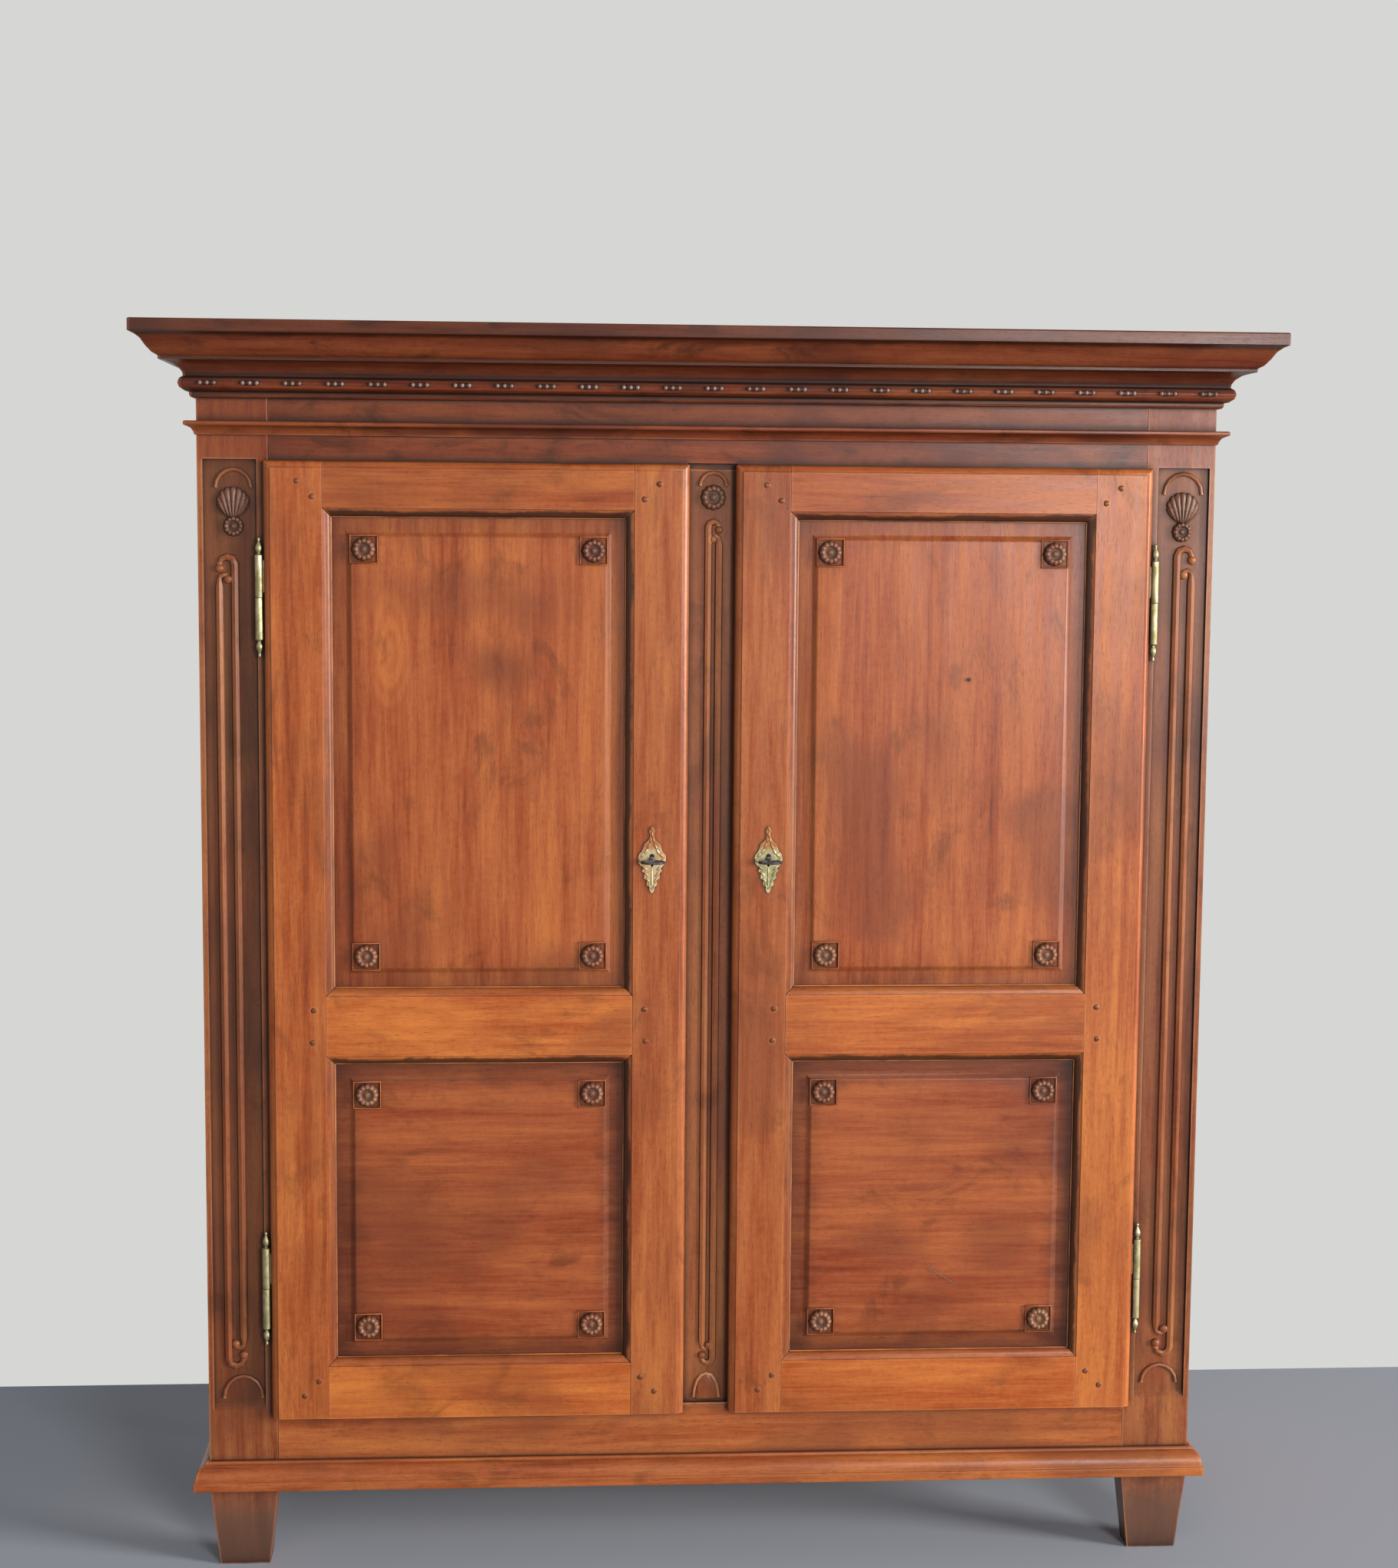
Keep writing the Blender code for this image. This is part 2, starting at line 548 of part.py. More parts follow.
def make_side_frames(posts):
    """Two rails and a fielded panel on each side, between a front and a back post."""
    near_y = FRONT_Y + POST_DEPTH + FIT
    far_y = BACK_Y - POST_DEPTH - FIT
    inner_x = HALF_WIDTH - SIDE_RAIL_THICKNESS
    board_under = OPENING_BOTTOM - BOARD_THICKNESS - FIT
    middle_x = HALF_WIDTH - SIDE_RAIL_THICKNESS / 2
    heights = {"top": (OPENING_TOP, TOP_OF_POSTS), "bottom": (FOOT_HEIGHT, OPENING_BOTTOM)}
    panel_z = grown((OPENING_BOTTOM, OPENING_TOP), CASE_GROOVE_DEPTH)
    panel_x = (HALF_WIDTH - SIDE_PANEL_SETBACK - SIDE_PANEL_EDGE, HALF_WIDTH - SIDE_PANEL_SETBACK)
    for name, side in SIDES.items():
        front, back = posts[name]
        groove_x = grown(span(side, *panel_x), FIT)
        groove = box(name + "_panel_groove", groove_x, grown((near_y, far_y), CASE_GROOVE_DEPTH), panel_z)
        cut(front, groove)
        cut(back, groove)
        for level, z in heights.items():
            x = span(side, inner_x, HALF_WIDTH)
            rail = box(name + "_side_" + level + "_rail", x, (near_y, far_y), z, PARTS, WOOD)
            cut(rail, groove)
            if level == "bottom":
                ledge_x = span(side, inner_x - LEDGE_WIDTH, middle_x)
                ledge_y = grown((near_y, far_y), -LEDGE_WIDTH)
                join(rail, box(name + "_ledge", ledge_x, ledge_y, (z[0] + LEDGE_WIDTH, board_under)))
            tenon_x = grown((side * middle_x, side * middle_x), CASE_TENON_THICKNESS / 2)
            tenon_z = grown(z, -TENON_SHOULDER - CASE_GROOVE_DEPTH)
            tenon_joint(rail, front, "Y", near_y, near_y - CASE_TENON_LENGTH, tenon_x, tenon_z)
            tenon_joint(rail, back, "Y", far_y, far_y + CASE_TENON_LENGTH, tenon_x, tenon_z)
        reach = CASE_GROOVE_DEPTH - PANEL_PLAY
        across = grown((near_y, far_y), reach)
        up = grown((OPENING_BOTTOM, OPENING_TOP), reach)
        label = name + "_side_panel"
        panel = fielded_panel(
            label, across, up, SIDE_PANEL_EDGE, SIDE_PANEL_MARGIN, SIDE_PANEL_FIELD, INNER_WOOD
        )
        turn = Matrix.Rotation(side * math.pi / 2, 4, "Z")
        panel.data.transform(turn)
        panel.location = (side * panel_x[1], (near_y + far_y) / 2, (OPENING_BOTTOM + OPENING_TOP) / 2)
        for index, height in enumerate(SHELF_HEIGHTS):
            top = height - SHELF_THICKNESS - FIT
            cleat_x = span(side, panel_x[0] - CLEAT_DEPTH, panel_x[0] + SIDE_PANEL_EDGE / 2)
            cleat_y = grown((near_y, far_y), -CASE_GROOVE_DEPTH)
            cleat = box(name + "_cleat_" + str(index + 1), cleat_x, cleat_y, (top - CLEAT_HEIGHT, top))
            join(panel, cleat)


def fielded_panel(name, across, up, thickness, margin, rise, material):
    """A panel that faces -Y at y = 0, centred on its origin, with a raised and bevelled field."""
    bm = bmesh.new()
    bmesh.ops.create_cube(bm, size=1.0)
    size = (across[1] - across[0], thickness, up[1] - up[0])
    bmesh.ops.scale(bm, vec=size, verts=bm.verts)
    bmesh.ops.translate(bm, vec=(0.0, thickness / 2, 0.0), verts=bm.verts)
    face = min(bm.faces, key=lambda item: item.calc_center_median().y)
    bmesh.ops.inset_region(bm, faces=[face], thickness=margin, use_even_offset=True)
    bmesh.ops.inset_region(bm, faces=[face], thickness=FIELD_BEVEL, depth=rise, use_even_offset=True)
    middle = ((across[0] + across[1]) / 2, 0.0, (up[0] + up[1]) / 2)
    return place(name, finished_mesh(name, bm), PARTS, material, middle)


def make_back(posts):
    """A boarded back in rebates of the back posts, nailed to a top and a bottom rail."""
    rail_reach = HALF_WIDTH - BACK_POST_WIDTH - FIT
    board_y = (BACK_Y - BACK_SETBACK - BACK_THICKNESS, BACK_Y - BACK_SETBACK)
    rail_y = (board_y[0] - FIT - RAIL_THICKNESS, board_y[0] - FIT)
    middle_y = (rail_y[0] + rail_y[1]) / 2
    tenon_y = grown((middle_y, middle_y), CASE_TENON_THICKNESS / 2)
    heights = {
        "back_top_rail": (OPENING_TOP, TOP_OF_POSTS),
        "back_bottom_rail": (FOOT_HEIGHT, OPENING_BOTTOM),
    }
    rails = {}
    for rail_name, z in heights.items():
        rail = box(rail_name, (-rail_reach, rail_reach), rail_y, z, PARTS, INNER_WOOD)
        for name, side in SIDES.items():
            tip = side * (rail_reach + CASE_TENON_LENGTH)
            tenon_z = grown(z, -TENON_SHOULDER)
            tenon_joint(rail, posts[name][1], "X", side * rail_reach, tip, tenon_y, tenon_z)
        rails[rail_name] = rail
    board_x = rail_reach + CASE_GROOVE_DEPTH
    board_z = (FOOT_HEIGHT + LEDGE_WIDTH, TOP_OF_POSTS - LEDGE_WIDTH)
    back = box("back_boards", (-board_x, board_x), board_y, board_z, PARTS, INNER_WOOD)
    for name, side in SIDES.items():
        x = span(side, rail_reach - OVERRUN, board_x + FIT)
        rebate = box(name + "_back_rebate", x, (board_y[0] - FIT, BACK_Y + OVERRUN), grown(board_z, FIT))
        cut(posts[name][1], rebate)
    board_width = 2 * board_x / BACK_BOARD_COUNT
    for index in range(1, BACK_BOARD_COUNT):
        x = -board_x + index * board_width
        groove_x = grown((x, x), BACK_JOINT_WIDTH / 2)
        groove_y = (board_y[1] - BACK_JOINT_DEPTH, board_y[1] + OVERRUN)
        cut(back, box("back_joint_" + str(index), groove_x, groove_y, grown(board_z, OVERRUN)))
    return rails


def make_boards(rails):
    """Top board, bottom board and shelves, cut round the posts."""
    side_x = HALF_WIDTH - SIDE_RAIL_THICKNESS - FIT
    back_face = BACK_Y - BACK_SETBACK - BACK_THICKNESS
    box(
        "top_board", (-HALF_WIDTH, HALF_WIDTH), (FRONT_Y, BACK_Y), (HEIGHT - BOARD_THICKNESS, HEIGHT),
        PARTS, INNER_WOOD,
    )
    bottom_y = (FRONT_Y + BOARD_SEAT + FIT, back_face - FIT - RAIL_THICKNESS / 2)
    bottom_z = (OPENING_BOTTOM - BOARD_THICKNESS, OPENING_BOTTOM)
    bottom = box("bottom_board", (-side_x, side_x), bottom_y, bottom_z, PARTS, INNER_WOOD)
    seat_y = (bottom_y[0], bottom_y[1] + FIT)
    seat_z = (bottom_z[0] - FIT, bottom_z[1] + OVERRUN)
    cut(rails["back_bottom_rail"], box("back_board_seat", (-HALF_WIDTH, HALF_WIDTH), seat_y, seat_z))
    shelves = [bottom]
    shelf_x = HALF_WIDTH - SIDE_PANEL_SETBACK - SIDE_PANEL_EDGE - FIT
    for index, height in enumerate(SHELF_HEIGHTS):
        y = (FRONT_Y + SHELF_FRONT_SETBACK, back_face - FIT)
        z = (height - SHELF_THICKNESS, height)
        shelf = box("shelf_" + str(index + 1), (-shelf_x, shelf_x), y, z, PARTS, INNER_WOOD)
        nose = shelf.modifiers.new("nose", "BEVEL")
        nose.width = SHELF_EDGE
        nose.segments = 1
        nose.limit_method = "ANGLE"
        shelves.append(shelf)
    for name, side in SIDES.items():
        front_x = span(side, POST_INNER_X - FIT, HALF_WIDTH + OVERRUN)
        back_x = span(side, HALF_WIDTH - BACK_POST_WIDTH - FIT, HALF_WIDTH + OVERRUN)
        tall = (0.0, HEIGHT)
        front_corner = box(name + "_front_notch", front_x, (FRONT_Y, FRONT_Y + POST_DEPTH + FIT), tall)
        back_corner = box(name + "_back_notch", back_x, (BACK_Y - POST_DEPTH - FIT, BACK_Y), tall)
        cut(bottom, front_corner)
        for shelf in shelves:
            cut(shelf, back_corner)


def profile_points(shares, bottom, height, projection):
    """A moulding's outline as (projection, height), kept off the face that carries it."""
    return [(max(out * projection, FIT), bottom + up * height) for out, up in shares]


def moulding(name, shares, bottom, height, projection):
    """One moulding round the front and both sides, mitred at the front corners."""
    points = profile_points(shares, bottom, height, projection)
    outline = [(FRONT_Y - out, up) for out, up in points]
    mesh = outline_mesh(name + "_front", outline, "X", -HALF_WIDTH, HALF_WIDTH)
    for vertex in mesh.vertices:
        reach = HALF_WIDTH + (FRONT_Y - vertex.co.y) - FIT / 2
        vertex.co.x = math.copysign(reach, vertex.co.x)
    place(name + "_front", mesh, PARTS, WOOD)
    for side_name, side in SIDES.items():
        outline = [(side * (HALF_WIDTH + out), up) for out, up in points]
        mesh = outline_mesh(name + "_" + side_name, outline, "Y", FRONT_Y, BACK_Y)
        for vertex in mesh.vertices:
            if vertex.co.y < BACK_Y - OVERRUN:
                vertex.co.y = FRONT_Y - (abs(vertex.co.x) - HALF_WIDTH) + FIT / 2
        place(name + "_" + side_name, mesh, PARTS, WOOD)


def make_mouldings():
    moulding("cornice", CORNICE_SHARES, FRIEZE_TOP, HEIGHT - FRIEZE_TOP, CORNICE_PROJECTION)
    moulding(
        "architrave", ARCHITRAVE_SHARES, ARCHITRAVE_BOTTOM, ARCHITRAVE_HEIGHT, ARCHITRAVE_PROJECTION
    )
    moulding("base_moulding", BASE_SHARES, FOOT_HEIGHT, BASE_MOULDING_HEIGHT, BASE_MOULDING_PROJECTION)


def quarter_round(start, end):
    """Points of a convex quarter ellipse; it leaves start level and meets end upright."""
    across, down = end[0] - start[0], end[1] - start[1]
    turns = [math.pi / 2 * index / OVOLO_STEPS for index in range(OVOLO_STEPS + 1)]
    return [(start[0] + across * math.sin(turn), start[1] + down * (1 - math.cos(turn))) for turn in turns]


def sticking(plain, sign):
    """The moulded inner edge beside a panel, from the face down to the back, as (across, depth)."""
    def across(reach):
        return plain + sign * reach

    rear = DOOR_GROOVE_FRONT + DOOR_GROOVE_WIDTH
    bottom = STICKING_WIDTH - DOOR_GROOVE_DEPTH
    rounded = quarter_round((across(0.0), QUIRK), (across(STICKING_WIDTH - QUIRK), STICKING_DEPTH))
    return [
        (across(0.0), 0.0), *rounded, (across(STICKING_WIDTH), STICKING_DEPTH),
        (across(STICKING_WIDTH), DOOR_GROOVE_FRONT), (across(bottom), DOOR_GROOVE_FRONT),
        (across(bottom), rear), (across(STICKING_WIDTH), rear), (across(STICKING_WIDTH), DOOR_THICKNESS),
    ]


def door_lip(edge, sign, rounded):
    """The outer edge of a door, from its back round the lip to the face, as (across, depth)."""
    lip_back = DOOR_PROUD - FIT
    points = [
        (edge + sign * (DOOR_LIP + DOOR_CLEARANCE), DOOR_THICKNESS),
        (edge + sign * (DOOR_LIP + DOOR_CLEARANCE), lip_back),
        (edge, lip_back),
    ]
    if rounded:
        start = (edge + sign * EDGE_OVOLO_WIDTH, QUIRK)
        points += reversed(quarter_round(start, (edge, EDGE_OVOLO_DEPTH)))
        points.append((start[0], 0.0))
    else:
        points.append((edge, 0.0))
    return points


def top_moulding(name, x):
    """A cutter along X that rounds the front edge of a door's top as its sides are rounded."""
    rounded = quarter_round((DOOR_TOP - EDGE_OVOLO_WIDTH, QUIRK), (DOOR_TOP, EDGE_OVOLO_DEPTH))
    points = [(DOOR_FRONT_Y + depth, up) for up, depth in rounded]
    points += [
        (DOOR_FRONT_Y + EDGE_OVOLO_DEPTH, DOOR_TOP + OVERRUN), (DOOR_FRONT_Y - OVERRUN, DOOR_TOP + OVERRUN),
        (DOOR_FRONT_Y - OVERRUN, DOOR_TOP - EDGE_OVOLO_WIDTH),
    ]
    return prism(name, points, "X", *x)


def door_stile(name, side, edge, way, width, parent):
    """An upright of a door; its moulding stops with mitres where the three rails meet it."""
    seam = edge + way * width
    outline = door_lip(edge, way, True) + sticking(seam, way)
    outline = [(side * across, DOOR_FRONT_Y + depth) for across, depth in outline]
    stile = prism(name, outline, "Z", DOOR_BOTTOM, DOOR_TOP, PARTS, WOOD)
    reach = STICKING_WIDTH + OVERRUN
    rails = (
        (DOOR_BOTTOM - OVERRUN - reach, LOWER_OPENING_BOTTOM),
        (LOWER_OPENING_TOP, UPPER_OPENING_BOTTOM),
        (UPPER_OPENING_TOP, DOOR_TOP + OVERRUN + reach),
    )
    for index, (low, high) in enumerate(rails):
        far = seam + way * reach
        points = [
            (side * seam, low - FIT), (side * far, low - FIT - reach),
            (side * far, high + FIT + reach), (side * seam, high + FIT),
        ]
        trim = prism(
            name + "_trim_" + str(index), points, "Y", DOOR_FRONT_Y - OVERRUN, DOOR_BACK_Y + OVERRUN
        )
        cut(stile, trim)
    for edge_name, high in (("top", True), ("bottom", False)):
        lip = DOOR_LIP + DOOR_CLEARANCE
        z = (DOOR_TOP - lip, DOOR_TOP + OVERRUN) if high else (DOOR_BOTTOM - OVERRUN, DOOR_BOTTOM + lip)
        y = (FRONT_Y - FIT, DOOR_BACK_Y + OVERRUN)
        x = span(side, edge - way * OVERRUN, seam + way * reach)
        cut(stile, box(name + "_" + edge_name + "_lip", x, y, z))
    cut(stile, top_moulding(name + "_moulding", span(side, edge - way * OVERRUN, seam + way * reach)))
    attach(stile, parent)
    return stile


def door_rail(name, side, low, high, ends, parent):
    """A crosspiece of a door between its stiles, moulded along each edge that meets a panel."""
    (near, near_stile), (far, far_stile) = ends
    lower_edge = door_lip(low, 1, False) if low == DOOR_BOTTOM else sticking(low, -1)[::-1]
    upper_edge = door_lip(high, -1, True)[::-1] if high == DOOR_TOP else sticking(high, 1)
    outline = [(DOOR_FRONT_Y + depth, up) for up, depth in lower_edge + upper_edge]
    x = span(side, near + FIT, far - FIT)
    rail = prism(name, outline, "X", *x, PARTS, RAIL_WOOD)
    reach = STICKING_WIDTH + OVERRUN
    for end_name, seam, way in (("near", near, 1), ("far", far, -1)):
        for edge_name, level, up in (("low", low, -1), ("high", high, 1)):
            if level in (DOOR_BOTTOM, DOOR_TOP):
                continue
            start = seam + way * 2 * FIT
            outside = seam - way * 2 * OVERRUN
            points = [
                (side * (start - way * OVERRUN), level - up * OVERRUN),
                (side * (start + way * reach), level + up * reach),
                (side * outside, level + up * reach), (side * outside, level - up * OVERRUN),
            ]
            trim = prism(
                name + "_" + end_name + "_" + edge_name, points, "Y",
                DOOR_FRONT_Y - OVERRUN, DOOR_BACK_Y + OVERRUN,
            )
            cut(rail, trim)
    middle_y = DOOR_FRONT_Y + DOOR_GROOVE_FRONT + DOOR_GROOVE_WIDTH / 2
    tenon_y = grown((middle_y, middle_y), DOOR_TENON_THICKNESS / 2)
    tenon_z = grown((low, high), -TENON_SHOULDER)
    attach(rail, parent)
    for seam, way, stile in ((near, 1, near_stile), (far, -1, far_stile)):
        shoulder = side * (seam + way * FIT)
        tip = side * (seam - way * DOOR_TENON_LENGTH)
        tenon_joint(rail, stile, "X", shoulder, tip, tenon_y, tenon_z)
    return rail


def flower(name, x, y, z, radius, height, petals, button_radius, button_height):
    """A carved flower that faces -Y: a dished disc with notched petals and a round button."""
    bm = bmesh.new()
    tip = radius * FLOWER_DISH_SHARE
    depth = height + TILE_SINK
    bmesh.ops.create_cone(bm, cap_ends=True, segments=2 * petals, radius1=radius, radius2=tip, depth=depth)
    for vertex in bm.verts:
        turn = math.atan2(vertex.co.y, vertex.co.x) / math.pi * petals
        if round(turn) % 2:
            vertex.co.x *= PETAL_NOTCH_SHARE
            vertex.co.y *= PETAL_NOTCH_SHARE
    bmesh.ops.translate(bm, vec=(0.0, 0.0, height - depth / 2), verts=bm.verts)
    bmesh.ops.rotate(bm, matrix=Matrix.Rotation(math.pi / 2, 3, "X"), verts=bm.verts)
    disc = place(name, finished_mesh(name, bm), CUTTERS, None, (x, y, z))
    bm = bmesh.new()
    bmesh.ops.create_cone(
        bm, cap_ends=True, segments=petals, radius1=button_radius, radius2=button_radius / 2,
        depth=button_height,
    )
    bmesh.ops.translate(bm, vec=(0.0, 0.0, button_height / 2), verts=bm.verts)
    bmesh.ops.rotate(bm, matrix=Matrix.Rotation(math.pi / 2, 3, "X"), verts=bm.verts)
    button = place(name + "_button", finished_mesh(name + "_button", bm), CUTTERS, None, (x, y, z))
    return disc, button


def door_panel(name, side, seams, opening, grain, parent):
    """A fielded panel in the grooves of its frame, with a square rosette at each corner of its field."""
    reach = STICKING_WIDTH - DOOR_GROOVE_DEPTH + PANEL_PLAY
    across = span(side, seams[0] + reach, seams[1] - reach)
    up = (opening[0] + reach, opening[1] - reach)
    thickness = DOOR_GROOVE_WIDTH - 2 * FIT
    panel = fielded_panel(name, across, up, thickness, FIELD_INSET - reach, FIELD_RISE, grain)
    panel.location.y = DOOR_FRONT_Y + DOOR_GROOVE_FRONT + FIT
    face_y = panel.location.y - FIELD_RISE
    inset = FIELD_INSET + FIELD_BEVEL - TILE_LAP + TILE_SIZE / 2
    half = TILE_SIZE / 2 - TILE_BORDER
    for column, x in (("near", seams[0] + inset), ("far", seams[1] - inset)):
        for row, z in (("low", opening[0] + inset), ("high", opening[1] - inset)):
            label = name + "_" + column + "_" + row
            place_x = side * x
            sink = box(
                label + "_tile", grown((place_x, place_x), half),
                (face_y - OVERRUN, face_y + TILE_SINK), grown((z, z), half),
            )
            cut(panel, sink)
            disc, button = flower(
                label + "_flower", place_x, face_y + TILE_SINK, z, FLOWER_RADIUS, FLOWER_HEIGHT,
                FLOWER_PETALS, FLOWER_BUTTON_RADIUS, FLOWER_BUTTON_HEIGHT,
            )
            join(panel, disc, button)
    attach(panel, parent)
    return panel


def new_axis(name, location):
    """An empty on a joint's axis, which carries the pieces that turn about it."""
    axis = bpy.data.objects.new(name, None)
    axis.location = location
    PARTS.objects.link(axis)
    return axis


def make_door(name, side):
    parent = new_axis(name + "_door_axis", (side * HINGE_X, HINGE_Y, 0.0))
    door = name + "_door_"
    near = DOOR_INNER_X + LOCK_STILE_WIDTH
    far = DOOR_OUTER_X - HINGE_STILE_WIDTH
    lock_stile = door_stile(door + "lock_stile", side, DOOR_INNER_X, 1, LOCK_STILE_WIDTH, parent)
    hinge_stile = door_stile(door + "hinge_stile", side, DOOR_OUTER_X, -1, HINGE_STILE_WIDTH, parent)
    ends = ((near, lock_stile), (far, hinge_stile))
    rails = {
        "top_rail": (UPPER_OPENING_TOP, DOOR_TOP),
        "middle_rail": (LOWER_OPENING_TOP, UPPER_OPENING_BOTTOM),
        "bottom_rail": (DOOR_BOTTOM, LOWER_OPENING_BOTTOM),
    }
    for rail_name, (low, high) in rails.items():
        door_rail(door + rail_name, side, low, high, ends, parent)
    openings = {
        "upper_panel": (UPPER_OPENING_BOTTOM, UPPER_OPENING_TOP),
        "lower_panel": (LOWER_OPENING_BOTTOM, LOWER_OPENING_TOP),
    }
    for panel_name, opening in openings.items():
        door_panel(door + panel_name, side, (near, far), opening, WOOD, parent)
    return parent, lock_stile, hinge_stile


def arc(centre_x, centre_z, radius_x, radius_z, start, end, y, steps):
    """Points of an elliptical arc in a plane that faces -Y; angles in half turns from +X."""
    turns = [math.pi * (start + (end - start) * index / steps) for index in range(steps + 1)]
    return [
        (centre_x + radius_x * math.cos(turn), y, centre_z + radius_z * math.sin(turn)) for turn in turns
    ]


def crooked_reeds(name, hooked_x, free_x, heights, half_width, height, y):
    """Two long reeds side by side, each bent over at one end and curled back at its other end.

    The hooked reed bends over the free one at the top, and the free reed bends under at the bottom.
    """
    middle = (hooked_x + free_x) / 2
    radius = abs(free_x - hooked_x) / 2
    small = radius * CURL_RADIUS_SHARE
    drop = radius * HOOK_DROP_SHARE
    steps = ROUND_STEPS // 2
    reeds = []
    high = heights["hook_top"] - half_width
    low = heights["hook_bottom"] + half_width
    ends = (
        (hooked_x, free_x, high, heights["curl_bottom"], 1),
        (free_x, hooked_x, low, heights["curl_top"], -1),
    )
    for index, (own, other, bend, stop, up) in enumerate(ends):
        toward = 1.0 if other > own else -1.0
        start_turn, end_turn = (1.0, 0.0) if toward > 0 else (0.0, 1.0)
        big = arc(middle, bend - up * radius, radius, up * radius, start_turn, end_turn, y, steps)
        last = (big[-1][0], y, big[-1][2] - up * drop)
        little = arc(own + toward * small, stop, small, -up * small, start_turn, end_turn, y, steps)
        path = little[::-1] + [(own, y, stop + up * radius)] + big + [last]
        narrowing = [1.0 - (1.0 - REED_TIP_SHARE) * step / steps for step in range(steps + 1)]
        shares = [REED_TIP_SHARE] * len(little) + [1.0] + narrowing + [REED_TIP_SHARE]
        reed = tube(name + "_reed_" + str(index), path, half_width, height / half_width, shares, y)
        reeds.append(reed)
    return reeds


def ridge_arch(name, middle, foot, top, half, y):
    """A thin ridge bent into an arch."""
    points = arc(middle, foot, half, top - foot, 1.0, 0.0, y, ROUND_STEPS)
    return tube(name, points, ARCH_RIDGE, 1.0, None, y)


def shell(name, x, y, z):
    """A scallop that faces -Y, with its lobes round the rim and a crown in its middle."""
    bm = bmesh.new()
    depth = SHELL_HEIGHT + TILE_SINK
    bmesh.ops.create_cone(
        bm, cap_ends=True, segments=2 * SHELL_LOBES, radius1=1.0, radius2=SHELL_CROWN_SHARE, depth=depth
    )
    for vertex in bm.verts:
        turn = math.atan2(vertex.co.y, vertex.co.x) / math.pi * SHELL_LOBES
        share = SHELL_NOTCH_SHARE if round(turn) % 2 else 1.0
        vertex.co.x *= share * SHELL_HALF_WIDTH
        vertex.co.y *= share * SHELL_HALF_HEIGHT
    bmesh.ops.translate(bm, vec=(0.0, 0.0, SHELL_HEIGHT - depth / 2), verts=bm.verts)
    bmesh.ops.rotate(bm, matrix=Matrix.Rotation(math.pi / 2, 3, "X"), verts=bm.verts)
    return place(name, finished_mesh(name, bm), CUTTERS, None, (x, y, z))


def carving_sizes(name):
    """A post's carving sizes, with its places across and its heights in the cupboard's own frame."""
    sizes = dict(CARVING[name])
    for key in ("arch_foot", "arch_top", "shell_height", "rosette_height", "hook_top", "curl_top"):
        sizes[key] = RECESS_TOP - sizes.get(key, 0.0)
    for key in ("curl_bottom", "hook_bottom", "low_arch_foot", "low_arch_top"):
        sizes[key] += RECESS_BOTTOM
    if name in SIDES:
        for key in ("middle", "arch_middle"):
            sizes[key] = HALF_WIDTH - sizes[key]
    return sizes


def carve_post(name, post, sign):
    """The raised carving in the sunk panel of a post."""
    sizes = carving_sizes(name)
    floor_y = FRONT_Y + RECESS_DEPTH
    centre = name == "centre"
    spacing = CENTRE_REED_SPACING if centre else REED_SPACING
    half_width = CENTRE_REED_HALF_WIDTH if centre else REED_HALF_WIDTH
    height = CENTRE_REED_HEIGHT if centre else REED_HEIGHT
    side = 1 if centre else sign
    hooked_x = side * (sizes["middle"] - spacing / 2)
    free_x = side * (sizes["middle"] + spacing / 2)
    join(post, *crooked_reeds(name, hooked_x, free_x, sizes, half_width, height, floor_y))
    middle = side * sizes["arch_middle"]
    upper = ridge_arch(
        name + "_upper_arch", middle, sizes["arch_foot"], sizes["arch_top"], sizes["arch_half"], floor_y
    )
    lower = ridge_arch(
        name + "_lower_arch", middle, sizes["low_arch_foot"], sizes["low_arch_top"],
        sizes["low_arch_half"], floor_y,
    )
    join(post, upper, lower)
    radius = CENTRE_ROSETTE_RADIUS if centre else POST_ROSETTE_RADIUS
    join(post, *flower(
        name + "_flower", middle, floor_y, sizes["rosette_height"], radius, FLOWER_HEIGHT,
        FLOWER_PETALS, FLOWER_BUTTON_RADIUS, FLOWER_BUTTON_HEIGHT,
    ))
    if not centre:
        join(post, shell(name + "_shell", middle, floor_y, sizes["shell_height"]))


def finial(length, at, up):
    """Profile points of a turned finial, from its tip towards the barrel, along Z."""
    return [(radius * BARREL_RADIUS, at + up * (1.0 - share) * length) for radius, share in FINIAL_SHARES]


def hinge_leaf(name, side, along, z):
    """A flat leaf from inside the barrel's wall into the wood; along is the way it runs."""
    start = (BARREL_RADIUS + PIN_RADIUS + PIN_PLAY) / 2
    end = BARREL_RADIUS + LEAF_REACH
    half = LEAF_THICKNESS / 2
    if along == "across":
        x = span(side, HINGE_X - end, HINGE_X - start)
        y = (HINGE_Y - half, HINGE_Y + half)
    else:
        x = grown((side * HINGE_X, side * HINGE_X), half)
        y = (HINGE_Y + start, HINGE_Y + end)
    return box(name, x, y, z), box(name + "_slot", grown(x, FIT), grown(y, FIT), grown(z, FIT))


